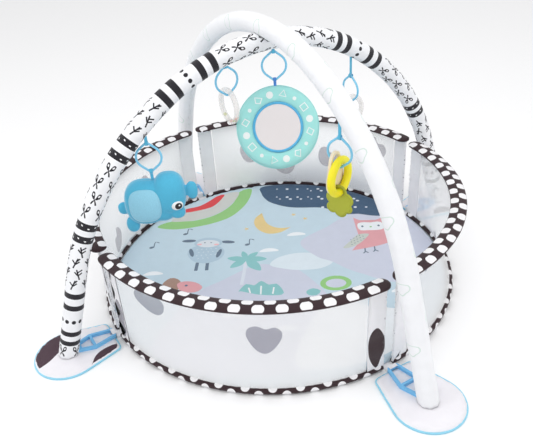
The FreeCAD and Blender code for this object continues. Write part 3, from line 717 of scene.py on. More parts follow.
def arch_line(apex):
    """Points along the arch's centreline, from its -X foot to its +X foot, and their distances."""
    cot = 1 / math.tan(LEG_ANGLE)
    x1, z1 = CROWN_RADIUS * math.sin(CROWN_HALF), apex - CROWN_RADIUS * (1 - math.cos(CROWN_HALF))
    run = math.sin(LEG_ANGLE) - math.sin(CROWN_HALF) - (math.cos(CROWN_HALF) - math.cos(LEG_ANGLE)) * cot
    shoulder = (FOOT_REACH - x1 - z1 * cot) / run
    half = [(CROWN_RADIUS * math.sin(a), apex - CROWN_RADIUS * (1 - math.cos(a)))
            for a in np.linspace(0, CROWN_HALF, 40)]
    half += [(x1 + shoulder * (math.sin(a) - math.sin(CROWN_HALF)),
              z1 - shoulder * (math.cos(CROWN_HALF) - math.cos(a)))
             for a in np.linspace(CROWN_HALF, LEG_ANGLE, 80)[1:]]
    x2, z2 = half[-1]
    half += [(x2 + (FOOT_REACH - x2) * t, z2 * (1 - t)) for t in np.linspace(0, 1, 60)[1:]]
    line = np.array([(-x, z) for x, z in half[::-1]] + half[1:])
    far = np.concatenate([[0], np.cumsum(np.hypot(*np.diff(line, axis=0).T))])
    return line, far


lines = {"print": arch_line(PRINT_APEX), "white": arch_line(WHITE_APEX)}
white_line = lines["white"][0]
crossing = math.radians(WHITE_SIDE - PRINT_SIDE)
over = np.array([(x * math.cos(crossing), x * math.sin(crossing), z) for x, z in white_line])


def sleeve_spot(name):
    """Where a point of that sleeve's cloth lies, with puckers along its seam and gathers at its hems."""
    line, far = lines[name]
    turn = math.radians(PRINT_SIDE if name == "print" else WHITE_SIDE)

    def spot(u, v):
        i = int(np.clip(np.searchsorted(far, v), 1, len(far) - 1))
        t = (v - far[i - 1]) / (far[i] - far[i - 1])
        x, z = line[i - 1] * (1 - t) + line[i] * t
        dx, dz = line[min(i + 2, len(far) - 1)] - line[max(i - 3, 0)]
        size = math.hypot(dx, dz)
        dx, dz = dx / size, dz / size
        around = 2 * math.pi * u / SLEEVE_ROUND
        seam = math.cos(around / 2) ** 16
        end = min(v, far[-1] - v)
        gather = 1.1 * math.exp(-end / 26) * math.sin(9 * around)
        soft = 0.8 * drift(u, v, 0.03, 0.016, 3.0)
        soft += 0.5 * drift(u, v, 0.05, 0.06, 9.0)
        reach = SLEEVE_RADIUS + 0.2 + soft + gather - 1.0 * seam * (0.6 + 0.4 * math.sin(v * 0.55))
        down, side = -math.cos(around) * reach, math.sin(around) * reach
        p = np.array([x - dz * down, side, z + dx * down])
        if p[2] < SLEEVE_HEM + 12:
            # the hem is level, so cloth below it slides up along the leg
            low = SLEEVE_HEM + 0.6 * math.sin(5 * around)
            if p[2] < low:
                p = p + np.array([dx, 0, dz]) * ((low - p[2]) / dz)
        if name == "print" and abs(x) < 90:
            away = p - over
            nearest = (away ** 2).sum(1).argmin()
            gap = math.sqrt((away[nearest] ** 2).sum())
            need = SLEEVE_RADIUS + 1.6
            if gap < need:
                p = over[nearest] + away[nearest] * need / gap
        c, s = math.cos(turn), math.sin(turn)
        return ((c * p[0] - s * p[1]) * MM, (s * p[0] + c * p[1]) * MM, p[2] * MM)

    return spot


INK = "26242a"


def band(at, width):
    return [(rectangle((0.3, at - width / 2), (SLEEVE_ROUND - 0.3, at + width / 2), 6.0), INK)]


def dot_row(at):
    return [(oval(SLEEVE_ROUND * (i + 0.5) / 9, at, 4.8, count=16), INK) for i in range(9)]


def flecked_band(at, width):
    flecks = [(oval(SLEEVE_ROUND * (i + 0.5) / 9, at + (2.0 if i % 2 else -2.0), 2.6, 1.5, 30 * i, 8),
               WHITE)
              for i in range(9)]
    return band(at, width) + flecks


def twigs(start, end):
    """Sprigs in rows, each a stem with short side shoots."""
    sprigs = []
    rows = max(1, round((end - start) / 27))
    for row in range(rows):
        for k in range(5):
            x = SLEEVE_ROUND * (k + (0.55 if row % 2 else 0.25)) / 5
            y = start + (end - start) * (row + 0.5) / rows
            lean = 4 if (row + k) % 2 else -4
            for a, b in (((-lean, -12), (lean, 12)), ((0, -2), (8, 5)), ((0, -2), (-8, 6)),
                         ((lean / 2, 5), (8, 12))):
                sprigs.append((stroke([(x + a[0], y + a[1]), (x + b[0], y + b[1])], 3.1), INK))
    return [s for s in sprigs if all(0.4 < p[0] < SLEEVE_ROUND - 0.4 for p in s[0])]


def loops(start, end):
    """Pairs of thin loops on a short stem, like a loose knot."""
    knots = []
    rows = max(1, round((end - start) / 34))
    for row in range(rows):
        for k in range(4):
            x = SLEEVE_ROUND * (k + (0.62 if row % 2 else 0.3)) / 4
            y = start + (end - start) * (row + 0.5) / rows
            for lean in (-1, 1):
                eye = [(x, y - 4), (x + lean * 9, y + 2), (x + lean * 10, y + 12), (x + lean * 4, y + 11),
                       (x + lean, y)]
                knots.append((smooth_line(eye, 4), INK))
                knots.append((oval(x + lean * 6.2, y + 6.6, 1.7, 3.0, -28 * lean, 10), WHITE))
            knots.append((stroke([(x - 5, y - 14), (x, y - 4), (x + 6, y - 14)], 3.2, 4), INK))
    return [s for s in knots if all(0.4 < p[0] < SLEEVE_ROUND - 0.4 for p in s[0])]


print_marks = sum((loops(12, 38), band(47, 12), band(72, 12), dot_row(104), band(140, 13), band(170, 13),
                   twigs(186, 292), flecked_band(307, 16), flecked_band(336, 16), loops(352, 484),
                   flecked_band(499, 16), flecked_band(532, 16), twigs(546, 636), band(649, 15),
                   band(678, 15), dot_row(711), band(743, 15), band(773, 15), loops(788, 950),
                   band(958, 14), twigs(974, 1086), band(1101, 15), band(1130, 15), dot_row(1167),
                   band(1206, 15), band(1238, 15), loops(1256, 1420), flecked_band(1438, 16),
                   flecked_band(1466, 16), twigs(1484, 1600), band(1624, 14), band(1652, 14), dot_row(1684),
                   band(1716, 14), loops(1732, 1786)), [])
clouds = []
for i in range(13):
    for k in range(2):
        x, y = SLEEVE_ROUND * (0.28 + 0.46 * k), 90 + 132 * i + 60 * k
        puff = [(x - 18, y - 8), (x - 20, y + 2), (x - 11, y + 9), (x - 2, y + 16), (x + 10, y + 10),
                (x + 20, y + 4),
                (x + 18, y - 8), (x, y - 10)]
        clouds.append((smooth_line(puff, 6), "d5e3dd"))
        clouds.append((smooth_line([(x + (a - x) * 0.88, y + (b - y) * 0.84) for a, b in puff], 6),
                       SLEEVE_GROUND))


def only(piece):
    """Makes the piece the one that is selected and active."""
    deselect_all()
    bpy.context.view_layer.objects.active = piece
    piece.select_set(True)


def modified(piece, kind, **settings):
    """Gives the active piece a modifier with those settings, and applies it."""
    bpy.ops.object.modifier_add(type=kind)
    modifier = piece.modifiers[-1]
    for key, value in settings.items():
        setattr(modifier, key, value)
    bpy.ops.object.modifier_apply(modifier=modifier.name)


sleeve_cloth = printed_cloth("printed quilting polyester", thread_mm=1.3)
for name, marks in (("print", print_marks), ("white", clouds)):
    total = lines[name][1][-1]
    cut = rectangle((0, 4.0), (SLEEVE_ROUND, total - 4.0), 5.0)
    sleeve = printed_mesh(name + "_arch_sleeve", cut, marks, 6.0, SLEEVE_GROUND, sleeve_spot(name),
                          sleeve_cloth)
    joined(sleeve)
    only(sleeve)
    modified(sleeve, "SOLIDIFY", thickness=SLEEVE_CLOTH * MM, offset=-1.0)
    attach(sleeve, "root")
    if name == "print":
        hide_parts("print_sleeve")
    else:
        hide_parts("white_sleeve", "sleeve_wadding")

# ---------------------------------------------------------------- poles, brackets and foot pads
# Each arch foot stands on a flat teardrop pad, white with a blue piping, and is held by a moulded
# blue bracket that slips into a slit in the sleeve's hem. A webbing joins the bracket to the mat.
FEET = {"front_left": -135, "front_right": -45, "back_right": 45, "back_left": 135}
PAD_TOP, PAD_LOW, PAD_ROUND = 7.0, 1.5, 4.0
pole_fibre = two_toned("drawn glass-fibre rod", "e8e8e4", "d8d8d2", 3.0, 0.06,
                       Roughness=0.4)
steel_tube = two_toned("zinc-plated steel tube", "b9bcc0", "a9adb2", 2.0, 0.08,
                       Metallic=1.0, Roughness=0.3)
for name in ("print_arch_poles", "white_arch_poles"):
    finish_node(name, pole_fibre)
finish_node("pole_ferrules", steel_tube)


def moulded(name, code, roughness, grain_mm=0.8, transmission=0.0, subsurface=0.0):
    """Injection-moulded plastic or silicone: one dye, with the mould's fine texture on it."""
    material, tree, shader = new_material(name, Roughness=roughness, Transmission_Weight=transmission,
                                          Subsurface_Weight=subsurface, Subsurface_Scale=0.004)
    dye = node(tree, "RGB", {})
    dye.outputs[0].default_value = shade(code)
    tree.links.new(speckled(tree, dye.outputs[0], 14.0, 0.05), shader.inputs["Base Color"])
    place = node(tree, "TexCoord", {}).outputs["Object"]
    grain = node(tree, "TexNoise", {"Vector": place, "Scale": 1000 / grain_mm, "Detail": 2.0})
    bump = node(tree, "Bump", {"Height": grain.outputs["Fac"], "Distance": 0.05 * MM, "Strength": 0.5})
    tree.links.new(bump.outputs[0], shader.inputs["Normal"])
    return material


bracket_plastic = moulded("moulded blue polypropylene", "74bdec", 0.38)
backing_cloth = moulded("plain blue lining cloth", "8fd0e8", 0.85, grain_mm=1.4)
webbing_cloth = moulded("white nylon webbing", "e6e6ea", 0.8, grain_mm=1.8)
piping_cloth = cloth("blue cotton piping", "93d6ee", thread_mm=1.6)
pad_cloth = printed_cloth("printed pad polyester")
circle_points = []
for x, y, r in ((569.0, 0.0, 76.0), (472.0, 40.0, 12.0), (472.0, -40.0, 12.0)):
    circle_points += oval(x, y, r, count=72)
hull = geometry.convex_hull_2d([Vector(p) for p in circle_points])
pad_outline = np.array([circle_points[i] for i in hull])


def evenly(outline, step):
    """The closed outline with its corners kept and its long sides cut into steps."""
    line = []
    for a, b in zip(outline, np.roll(outline, -1, axis=0)):
        pieces = max(1, round(float(np.hypot(*(b - a))) / step))
        line += [tuple(a + (b - a) * i / pieces) for i in range(pieces)]
    return line


def edge_distance(outline, p):
    a, b = outline, np.roll(outline, -1, axis=0)
    t = np.clip(((p - a) * (b - a)).sum(1) / (((b - a) ** 2).sum(1) + 1e-9), 0, 1)
    return float(np.sqrt((((a + (b - a) * t[:, None]) - p) ** 2).sum(1)).min())


def pulled_in(outline, border, centre, margin=0.97):
    """The outline with what lies past the border drawn in towards the centre."""
    centre = np.array(centre, float)
    result = []
    for p in outline:
        p = np.array(p, float)
        while not inside(np.array([centre + (p - centre) / margin]), border)[0]:
            p = centre + (p - centre) * 0.97
        result.append(tuple(p))
    return result


def pad_spot(u, v):
    gap = edge_distance(pad_outline, np.array([u, v]))
    drop = 0.0
    if gap < PAD_ROUND:
        drop = (PAD_TOP - PAD_LOW - 1.5) * (1 - math.sqrt(max(0.0, 1 - (1 - gap / PAD_ROUND) ** 2)))
    sewn = 0.7 * math.exp(-((gap - 9) / 1.6) ** 2)
    clear = min(1.0, max(0.0, (abs(v) - 22) / 10)) if u < 570 else 1.0
    puff = 0.9 * clear * drift(u, v, 0.03, 0.03, 8.0)
    return (u * MM, v * MM, (PAD_TOP - 0.15 - drop - sewn + puff * min(1, gap / 12)) * MM)


def tube_along(name, points, radius, material, sides=10, closed=True):
    """A round cord of cloth or thread through the points, which are in millimetres."""
    deselect_all()
    line = bpy.data.curves.new(name, "CURVE")
    line.dimensions = "3D"
    spline = line.splines.new("NURBS")
    spline.points.add(len(points) - 1)
    for knot, p in zip(spline.points, points):
        knot.co = (p[0] * MM, p[1] * MM, p[2] * MM, 1)
    spline.order_u = 3
    spline.use_cyclic_u = closed
    spline.use_endpoint_u = not closed
    line.bevel_depth = radius * MM
    line.bevel_resolution = sides // 4
    line.use_fill_caps = not closed
    cord = bpy.data.objects.new(name, line)
    bpy.context.collection.objects.link(cord)
    bpy.context.view_layer.objects.active = cord
    cord.select_set(True)
    bpy.ops.object.convert(target="MESH")
    cord = bpy.context.object
    cord.data.materials.clear()
    cord.data.materials.append(material)
    for polygon in cord.data.polygons:
        polygon.use_smooth = True
    if not cord.data.uv_layers:
        cord.data.uv_layers.new(name="UVMap")
    return cord


pad_cut = evenly(pad_outline, 6.0)
pad_blobs = {
    "front_left": [[(560, -84), (570, -52), (576, -26), (598, -8), (623, 6), (650, 8), (660, -30),
                    (620, -84)],
                   [(440, 60), (462, 36), (495, 34), (522, 48), (534, 76), (480, 84)]],
    "back_left": [[(590, 20), (620, 10), (650, 20), (640, 60), (600, 70), (584, 44)]],
    "back_right": [[(500, -70), (520, -40), (556, -44), (566, -84), (520, -90)]],
    "front_right": [],
}
for foot, turn in FEET.items():
    blobs = [(pulled_in(smooth_line(points, 6), pad_outline, (560, 0)), "4a3540")
             for points in pad_blobs[foot]]
    pad = printed_mesh(foot + "_pad", pad_cut, blobs, 6.0, "efedf2", pad_spot, pad_cloth)
    shell_down(pad, 1.55 * MM)
    piping = tube_along(foot + "_pad_piping", [(x, y, 2.2) for x, y in pad_cut[::2]], 2.1, piping_cloth)
    for piece in (pad, piping):
        turned_to(piece, turn)
        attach(piece, "root")
    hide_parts("foot_pad_" + foot)
    finish_node("foot_bracket_" + foot, bracket_plastic)
finish_node("foot_pad_backings", backing_cloth)
finish_node("foot_webbings", webbing_cloth)

# ---------------------------------------------------------------- links and their ribbons
# Each toy hangs on an open ring of springy blue plastic, which hooks into a folded ribbon sewn
# into the sleeve's seam. The ribbons are woven satin.
HANG = {"plush": (15.5, (-212, -212, 457)),
        "rattle": (45, (-79, -41, 566)),
        "mirror": (15.5, (16, 16, 582.5)),
        "teether": (-20.5, (192, -192, 482)),
        "ring_rattle": (-42.5, (168, 168, 474))}
LINK_HEIGHT = 66.0
RIBBON_EYE, RIBBON_HALF = 5.1, 3.2
link_plastic = moulded("clear blue moulded acetal", "86d4f6", 0.25, transmission=0.1)
blue_ribbon = cloth("woven blue satin ribbon", "5cbde0", thread_mm=1.0, sheen=0.5)
dark_ribbon = cloth("woven royal blue satin ribbon", "4f88d6", thread_mm=1.0, sheen=0.5)


def hang_matrix(toy):
    turn, point = HANG[toy]
    return Matrix.Translation(Vector(point) * MM) @ Matrix.Rotation(math.radians(turn), 4, "Z")


def ribbon(name, length, material, up=1):
    """A folded ribbon: an eye round the link's rod, and two plies sewn together above or below it."""
    path = [(-0.65, length), (-0.65, length * 0.6), (-0.8, RIBBON_EYE + 1.5)]
    path += [(RIBBON_EYE * math.cos(a), RIBBON_EYE * math.sin(a))
             for a in np.radians(np.linspace(112, 428, 22))]
    path += [(0.8, RIBBON_EYE + 1.5), (0.65, length * 0.6), (0.65, length)]
    verts, faces, far = [], [], 0.0
    uvs = []
    for i, (y, z) in enumerate(path):
        far += math.hypot(y - path[i - 1][0], z - path[i - 1][1]) if i else 0.0
        for k in range(5):
            x = RIBBON_HALF * (k / 2 - 1)
            verts.append((x * MM, y * MM, up * z * MM))
            uvs.append((x * MM, far * MM))
        if i:
            for k in range(4):
                a = (i - 1) * 5 + k
                faces.append((a, a + 1, a + 6, a + 5))
    mesh = bpy.data.meshes.new(name)
    mesh.from_pydata(verts, [], faces)
    layer = mesh.uv_layers.new(name="UVMap")
    for loop in mesh.loops:
        layer.data[loop.index].uv = uvs[loop.vertex_index]
    mesh.materials.append(material)
    strip = bpy.data.objects.new(name, mesh)
    bpy.context.collection.objects.link(strip)
    only(strip)
    modified(strip, "SOLIDIFY", thickness=0.9 * MM, offset=0.0)
    modified(strip, "BEVEL", width=0.2 * MM)
    for polygon in strip.data.polygons:
        polygon.use_smooth = True
    return strip


for toy in HANG:
    finish_node(toy + "_link", link_plastic)
    lean = Matrix.Rotation(math.radians(44 if toy == "rattle" else 0), 4, "X")
    placed = hang_matrix(toy) @ lean
    line, _ = lines["white" if toy == "teether" else "print"]
    side = math.radians(WHITE_SIDE if toy == "teether" else PRINT_SIDE)
    arch = np.array([(x * math.cos(side), x * math.sin(side), z) for x, z in line])

    def from_arch(length):
        tip = np.array(placed @ Vector((0, 0, length * MM))) / MM
        return np.sqrt(((tip - arch) ** 2).sum(1)).min()

    length = 6.0
    while length < 70 and from_arch(length) > TOUCHES_SLEEVE:
        length += 1.0
    loop = ribbon(toy + "_loop", length + 1.0, blue_ribbon)
    loop.data.transform(placed)
    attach(loop, "root")
    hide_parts("toy_loops")

# ---------------------------------------------------------------- rattle rings
# A clear hollow ring, welded from two moulded halves, with small loose beads inside it.
RATTLE_RADIUS, RATTLE_DROP, BEAD_REACH = 36.5, 55.1, 36.5


def merged(pieces, name=None):
    """The pieces as one object, under the name given or else the first one's."""
    deselect_all()
    for piece in pieces:
        piece.select_set(True)
    bpy.context.view_layer.objects.active = pieces[0]
    bpy.ops.object.join()
    whole = bpy.context.object
    if name:
        whole.name = name
    return whole


clear_plastic = two_toned("clear moulded styrene", "fbf8f6", "f3efed", 12.0, 0.05,
                          Roughness=0.16, IOR=1.3, Alpha=0.3)
bead_plastics = [moulded("orange bead plastic", "f4742f", 0.25),
                 moulded("lime bead plastic", "d3dc3c", 0.25),
                 moulded("white bead plastic", "f4f2ee", 0.25)]
for toy in ("rattle", "ring_rattle"):
    finish_node(toy + "_tube", clear_plastic)
    beads = []
    for i, turn in enumerate((-52, -30, -8, 16, 40)):
        a = math.radians(turn)
        spot = Vector((0, BEAD_REACH * math.sin(a),
                       -RATTLE_DROP - RATTLE_RADIUS - BEAD_REACH * math.cos(a)))
        deselect_all()
        bpy.ops.mesh.primitive_torus_add(location=spot * MM, rotation=(a, 0, 0), major_segments=20,
                                         minor_segments=12,
                                         major_radius=2.3 * MM, minor_radius=1.7 * MM)
        bead = bpy.context.object
        bpy.ops.object.transform_apply(location=True, rotation=True, scale=True)
        bead.data.materials.append(bead_plastics[(0, 1, 0, 2, 1)[i]])
        bpy.ops.object.shade_smooth()
        beads.append(bead)
    bead = merged(beads, toy + "_loose_beads")
    bead.data.transform(hang_matrix(toy))
    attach(bead, toy + "_toy")
    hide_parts(toy + "_beads")

# ---------------------------------------------------------------- the teether
# A fat yellow silicone ring, with a flat cream charm and a scalloped green leaf threaded on it.
TEETHER_DROP, TEETHER_RADIUS = 52.3, 35.5
LEAF_EYE, LEAF_HALF = 9.2, 2.5
LEAF_GROUND, LEAF_SEAM = "b8bd45", "a3a834"
yellow_silicone = moulded("yellow food-grade silicone", "f7ea1f", 0.45, subsurface=0.15)
cream_silicone = moulded("cream food-grade silicone", "f1e2c6", 0.5, subsurface=0.15)
finish_node("teether_ring", yellow_silicone)
finish_node("teether_charm", cream_silicone)


def union_outline(circles, centre, count=120):
    """The outline round overlapping circles, seen from the centre."""
    ring = []
    for i in range(count):
        a = 2 * math.pi * i / count
        d = np.array([math.cos(a), math.sin(a)])
        far = 0.0
        for x, y, r in circles:
            rel = np.array([x, y]) - centre
            along = float(rel @ d)
            off = float(rel @ rel) - along ** 2
            if off < r * r:
                far = max(far, along + math.sqrt(r * r - off))
        ring.append(tuple(np.array(centre) + d * far))
    return ring


def two_faced(name, border, hole, motifs, step, ground, height, material):
    """A flat padded shape: the same cut twice, face to face. height(u, v) is half its thickness, in
    millimetres, and the shape lies in the XZ plane with its printed face towards -Y."""
    faces = []
    for side in (-1, 1):
        def spot(u, v, side=side):
            return (u * MM, side * height(u, v) * MM, v * MM)
        face = printed_mesh(name, border, motifs if side < 0 else motifs[:0], step, ground, spot, material)
        faces.append(face)
    whole = merged(faces)
    if hole:
        form = bmesh.new()
        form.from_mesh(whole.data)
        middles = np.array([tuple(f.calc_center_median()) for f in form.faces])[:, [0, 2]] / MM
        gone = inside(middles, hole)
        bmesh.ops.delete(form, geom=[f for f, out in zip(form.faces[:], gone) if out], context="FACES")
        form.to_mesh(whole.data)
        form.free()
    joined(whole)
    return whole


leaf_y = -TEETHER_DROP - 2 * TEETHER_RADIUS
leaf_circles = [(0, leaf_y, 17), (-16, leaf_y - 18, 16), (16, leaf_y - 16, 16), (-18, leaf_y - 42, 13),
                (2, leaf_y - 46, 15), (18, leaf_y - 36, 12), (0, leaf_y - 26, 22)]
leaf_middle = np.array([0.0, leaf_y - 24.0])
leaf_edge = union_outline(leaf_circles, leaf_middle)
leaf_array = np.array(leaf_edge)
leaf_hole = oval(0, leaf_y, LEAF_EYE, count=28)


def leaf_height(u, v):
    gap = edge_distance(leaf_array, np.array([u, v]))
    eye = math.hypot(u, v - leaf_y) - LEAF_EYE
    groove = 0.6 * math.exp(-((gap - 5.0) / 0.8) ** 2)
    edge = min(max(gap, 0.0), 2.0, max(eye, 0.0)) / 2.0
    return LEAF_HALF * math.sqrt(max(0.0, 1 - (1 - edge) ** 2)) - groove


leaf_line, leaf_inner = [[leaf_middle + (np.array(p) - leaf_middle) * share for p in leaf_edge]
                         for share in (0.86, 0.83)]
leaf_silicone = printed_cloth("green printed silicone", thread_mm=2.0, sheen=0.05)
leaf = two_faced("teether_leaf_shape", leaf_edge, leaf_hole,
                 [(leaf_line, LEAF_SEAM), (leaf_inner, LEAF_GROUND), (leaf_hole, LEAF_GROUND)],
                 4.0, LEAF_GROUND, leaf_height, leaf_silicone)
leaf.data.transform(hang_matrix("teether"))
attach(leaf, "teether_toy")
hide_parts("teether_leaf")

# ---------------------------------------------------------------- the mirror
# A shatterproof mirror in a padded ring of teal cloth with white shapes printed on it. A blue
# piping covers the seam round the mirror, and the whole hangs leaning back on a short ribbon.
MIRROR_OUTER, MIRROR_INNER, PAD_HALF = 93.0, 53.0, 11.0
MIRROR_DROP, MIRROR_LEAN = 106.0, 26.0
MIRROR_GROUND, MIRROR_SHAPE = "a6e6e2", "f0f6f5"
SHAPES, SHAPES_REACH = 16, 73.5
mirror_place = hang_matrix("mirror") @ Matrix.Translation((0, 0, -LINK_HEIGHT * MM))
mirror_place = mirror_place @ Matrix.Rotation(math.radians(-MIRROR_LEAN), 4, "X")
tab_place = mirror_place.copy()
mirror_place = mirror_place @ Matrix.Translation((0, 0, -MIRROR_DROP * MM))


def mirror_height(u, v):
    r = math.hypot(u, v)
    middle, half = (MIRROR_OUTER + MIRROR_INNER) / 2, (MIRROR_OUTER - MIRROR_INNER) / 2
    swell = math.sqrt(max(0.0, 1 - min(1.0, abs(r - middle) / half) ** 2.4))
    a = math.atan2(v, u)
    outer_gather = max(0.0, 1 - (MIRROR_OUTER - r) / 9)
    inner_gather = max(0.0, 1 - (r - MIRROR_INNER) / 8)
    pucker = 0.5 * math.sin(34 * a) * outer_gather + 0.5 * math.sin(30 * a) * inner_gather
    return PAD_HALF * swell + pucker * swell + 0.5 * drift(u, v, 0.05, 0.05, 2.0) * swell


def framed(points, width=2.2):
    """A closed line drawn along the corner points: a white shape, and its inside in the ground colour."""
    centre = np.mean(points, axis=0)
    inner = [tuple(centre + (np.array(p) - centre) * (1 - width / np.hypot(*(np.array(p) - centre)) * 1.3))
             for p in points]
    return [(points, MIRROR_SHAPE), (inner, MIRROR_GROUND)]


shapes = []
for i in range(SHAPES):
    a = 2 * math.pi * (i + 0.5) / SHAPES
    x, y = SHAPES_REACH * math.cos(a), SHAPES_REACH * math.sin(a)
    kind = i % 8
    if kind in (0, 4):
        shapes.append((oval(x, y, 8.0, count=20), MIRROR_SHAPE))
    elif kind in (2, 6):
        shapes.append((oval(x, y, 4.4, count=14), MIRROR_SHAPE))
    else:
        corners = {1: [(-8, -8), (8, -8), (8, 8), (-8, 8)],
                   3: [(-9, -7), (9, -7), (0, 9)],
                   5: [(-9, -7), (9, -7), (6, 7), (-6, 7)],
                   7: [(-8, -6), (7, -8), (8, 6), (-7, 8)]}[kind]
        spin = 0.6 * i
        c, s = math.cos(spin), math.sin(spin)
        shapes += framed([(x + c * p - s * q, y + s * p + c * q) for p, q in corners])
teal_cloth = printed_cloth("printed teal polyester")
mirror_pad = two_faced("mirror_ring_pad", oval(0, 0, MIRROR_OUTER, count=120),
                       oval(0, 0, MIRROR_INNER + 0.2, count=96),
                       shapes + [(oval(0, 0, MIRROR_INNER, count=96), MIRROR_GROUND)], 4.5, MIRROR_GROUND,
                       mirror_height, teal_cloth)
edge_seam = tube_along("mirror_edge_seam", [(MIRROR_OUTER * math.cos(a), 0, MIRROR_OUTER * math.sin(a))
                                            for a in np.linspace(0, 2 * math.pi, 73)[:-1]], 1.1,
                       cloth("teal seam binding", "92dcd9", thread_mm=1.4))
bezel = tube_along("mirror_piping", [((MIRROR_INNER + 1) * math.cos(a), -7.6,
                                      (MIRROR_INNER + 1) * math.sin(a))
                                     for a in np.linspace(0, 2 * math.pi, 73)[:-1]], 3.0,
                   cloth("blue piping round the mirror", "5cb8e4", thread_mm=1.4))
for piece in (mirror_pad, edge_seam, bezel):
    piece.data.transform(mirror_place)
    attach(piece, "mirror_toy")
mirror_tab = ribbon("mirror_tab_ribbon", MIRROR_DROP - MIRROR_OUTER + 6, dark_ribbon, up=-1)
mirror_tab.data.transform(tab_place)
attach(mirror_tab, "mirror_toy")
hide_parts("mirror_pad")
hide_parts("mirror_bezel")
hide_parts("mirror_tab")
# The mirror's faint pink-white colour is a painted reflection of its surroundings, and so is the dull share
# that a metallic of 0.7 leaves; the metallic share is the sheet's real silvering.
silvered_with_painted_reflection = two_toned("silvered acrylic sheet", "f6f1f2", "f2eced", 60.0, 0.03,
                     Metallic=0.7, Roughness=0.12)
finish_node("mirror_glass", silvered_with_painted_reflection)
finish_node("mirror_back", moulded("teal lining cloth", MIRROR_GROUND, 0.85, grain_mm=1.4))

# ---------------------------------------------------------------- the stuffed animal
# A plump velour animal, cut from blue pile cloth and filled with loose fibre, with a paler patch
# sewn on its side, one embroidered eye, and small ear, tail, foot and snout lobes.
PLUSH_SHIFT = (-8.0, 0.42)                # brings its middle of mass under the link
PLUSH_VOXEL, SWELL_CAP, SWELL_FRAMES = 2.6 * MM, 2.5 * MM, 14
plush_place = hang_matrix("plush") @ Matrix.Translation(
    (PLUSH_SHIFT[0] * MM, PLUSH_SHIFT[1] * MM, -LINK_HEIGHT * MM))
lumps = [((-14, 0, -74), (47, 34, 53), 0.8), ((40, 0, -56), (36, 31, 50), 0.8),
         ((12, 0, -62), (34, 27, 42), 0.9), ((16, 0, -98), (36, 25, 26), 0.9),
         ((90, -3, -52), (13, 7, 22), 0.9), ((74, -1, -50), (12, 5, 9), 1.0),
         ((-66, 0, -88), (13, 8, 15), 0.9), ((-50, -7, -126), (15, 13, 20), 0.9),
         ((54, -11, -101), (17, 15, 13), 0.9)]
lump_pieces = []
deselect_all()
for centre, size, boxy in lumps:
    bpy.ops.mesh.primitive_ico_sphere_add(subdivisions=5, radius=1.0)
    lump = bpy.context.object
    for vert in lump.data.vertices:
        # a rounded box: each coordinate of the ball is pushed out towards its corner
        vert.co = Vector(c + math.copysign(abs(p) ** boxy, p) * s
                         for c, p, s in zip(centre, vert.co, size)) * MM
    lump_pieces.append(lump)
plush = merged(lump_pieces, "plush_animal")
plush.data.remesh_voxel_size = PLUSH_VOXEL
bpy.ops.object.voxel_remesh()
modified(plush, "SMOOTH", factor=0.5, iterations=5)
before = np.array([tuple(v.co) for v in plush.data.vertices])
bpy.ops.object.modifier_add(type="CLOTH")
stuffing = plush.modifiers["Cloth"]
stuffing.settings.use_pressure = True
stuffing.settings.uniform_pressure_force = 3.0
stuffing.settings.effector_weights.gravity = 0.0
stuffing.settings.quality = 4
bpy.context.scene.frame_start, bpy.context.scene.frame_end = 1, SWELL_FRAMES
for step in range(1, SWELL_FRAMES + 1):
    bpy.context.scene.frame_set(step)
bpy.ops.object.modifier_apply(modifier="Cloth")
bpy.context.scene.frame_set(1)
after = np.array([tuple(v.co) for v in plush.data.vertices])
moved = after - before
far = np.linalg.norm(moved, axis=1, keepdims=True)
after = before + moved * np.minimum(1.0, SWELL_CAP / np.maximum(far, 1e-9))
plush.data.vertices.foreach_set("co", after.astype(np.float32).ravel())
plush.data.update()
bpy.ops.object.shade_smooth()
PATCH = (-13.0, -72.0, 35.0, 40.0)       # the side patch: middle and half sizes, on the near side


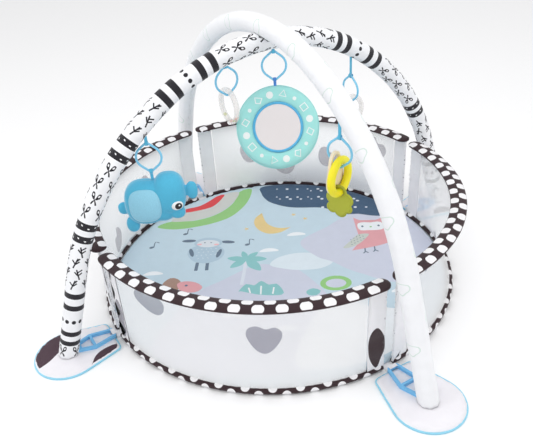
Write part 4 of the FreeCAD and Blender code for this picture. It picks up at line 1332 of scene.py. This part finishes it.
def velour(name):
    """Short blue pile cloth. The patch is drawn where it is sewn on, with its seam pressed in."""
    material, tree, shader = new_material(name, Roughness=0.9, Sheen_Weight=0.8, Sheen_Roughness=0.35,
                                          Specular_IOR_Level=0.15)
    place = node(tree, "TexCoord", {}).outputs["Object"]
    turn, _ = HANG["plush"]
    home = plush_place @ Vector((PATCH[0] * MM, 0, PATCH[1] * MM))
    local = node(tree, "Mapping", {"Vector": place, "Location": home,
                                   "Rotation": (0, 0, math.radians(turn))},
                 vector_type="TEXTURE").outputs[0]
    split = node(tree, "SeparateXYZ", {0: local})
    spread = 0.0
    for socket, half in ((split.outputs[0], PATCH[2]), (split.outputs[2], PATCH[3])):
        share = calc(tree, "ABSOLUTE", calc(tree, "MULTIPLY", socket, 1 / (half * MM)))
        term = calc(tree, "POWER", share, 2.8)
        spread = calc(tree, "ADD", term, spread)
    near = calc(tree, "LESS_THAN", split.outputs[1], 0.0)
    patch = calc(tree, "MULTIPLY", calc(tree, "LESS_THAN", spread, 1.0), near)
    dye = blend_colour(tree, patch, shade("58b8da"), shade("98d3e9"))
    pile = node(tree, "TexNoise", {"Vector": place, "Scale": 420.0, "Detail": 5.0, "Roughness": 0.7})
    tint = calc(tree, "MULTIPLY_ADD", pile.outputs["Fac"], 0.34)
    tint.node.inputs[2].default_value = 0.83
    shaded = node(tree, "VectorMath", {0: dye, "Scale": tint}, operation="SCALE")
    tree.links.new(shaded.outputs[0], shader.inputs["Base Color"])
    from_seam = calc(tree, "ABSOLUTE", calc(tree, "SUBTRACT", spread, 1.0))
    seam = node(tree, "MapRange", {0: from_seam, 1: 0.0, 2: 0.14, 3: 0.0, 4: 1.0})
    height = calc(tree, "ADD", calc(tree, "MULTIPLY", seam.outputs[0], near),
                  calc(tree, "MULTIPLY", pile.outputs["Fac"], 0.6))
    bump = node(tree, "Bump", {"Height": height, "Distance": 1.2 * MM, "Strength": 0.7})
    tree.links.new(bump.outputs[0], shader.inputs["Normal"])
    return material


plush.data.transform(plush_place)
plush.data.materials.clear()
plush.data.materials.append(velour("blue velour pile"))
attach(plush, "plush_toy")
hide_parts("plush_body", "plush_lobes")
felt = {"white": moulded("white embroidered felt", "f2f2f0", 0.9, 1.0),
        "dark": moulded("dark embroidered felt", "2a2424", 0.8, 1.0)}
eye_parts = []
for name, centre, size, material in (("eye_white", (57, -27, -75), (13, 6.5, 11.5), felt["white"]),
                                     ("eye_pupil", (60, -31.6, -74), (8.0, 3.6, 8.2), felt["dark"]),
                                     ("eye_glint", (62.5, -34.7, -70.5), (2.0, 1.2, 2.1), felt["white"])):
    deselect_all()
    bpy.ops.mesh.primitive_uv_sphere_add(segments=28, ring_count=16, location=Vector(centre) * MM,
                                         scale=Vector(size) * MM, rotation=(0.18, 0, 0.35))
    part = bpy.context.object
    bpy.ops.object.transform_apply(location=True, rotation=True, scale=True)
    part.data.materials.append(material)
    bpy.ops.object.shade_smooth()
    eye_parts.append(part)
eye = merged(eye_parts, "plush_eye")
eye.data.transform(plush_place)
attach(eye, "plush_toy")
plush_tab = ribbon("plush_tab_ribbon", 20.0, blue_ribbon, up=-1)
plush_tab.data.transform(hang_matrix("plush") @ Matrix.Translation((0, 0, -LINK_HEIGHT * MM)))
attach(plush_tab, "plush_toy")
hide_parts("plush_tab")
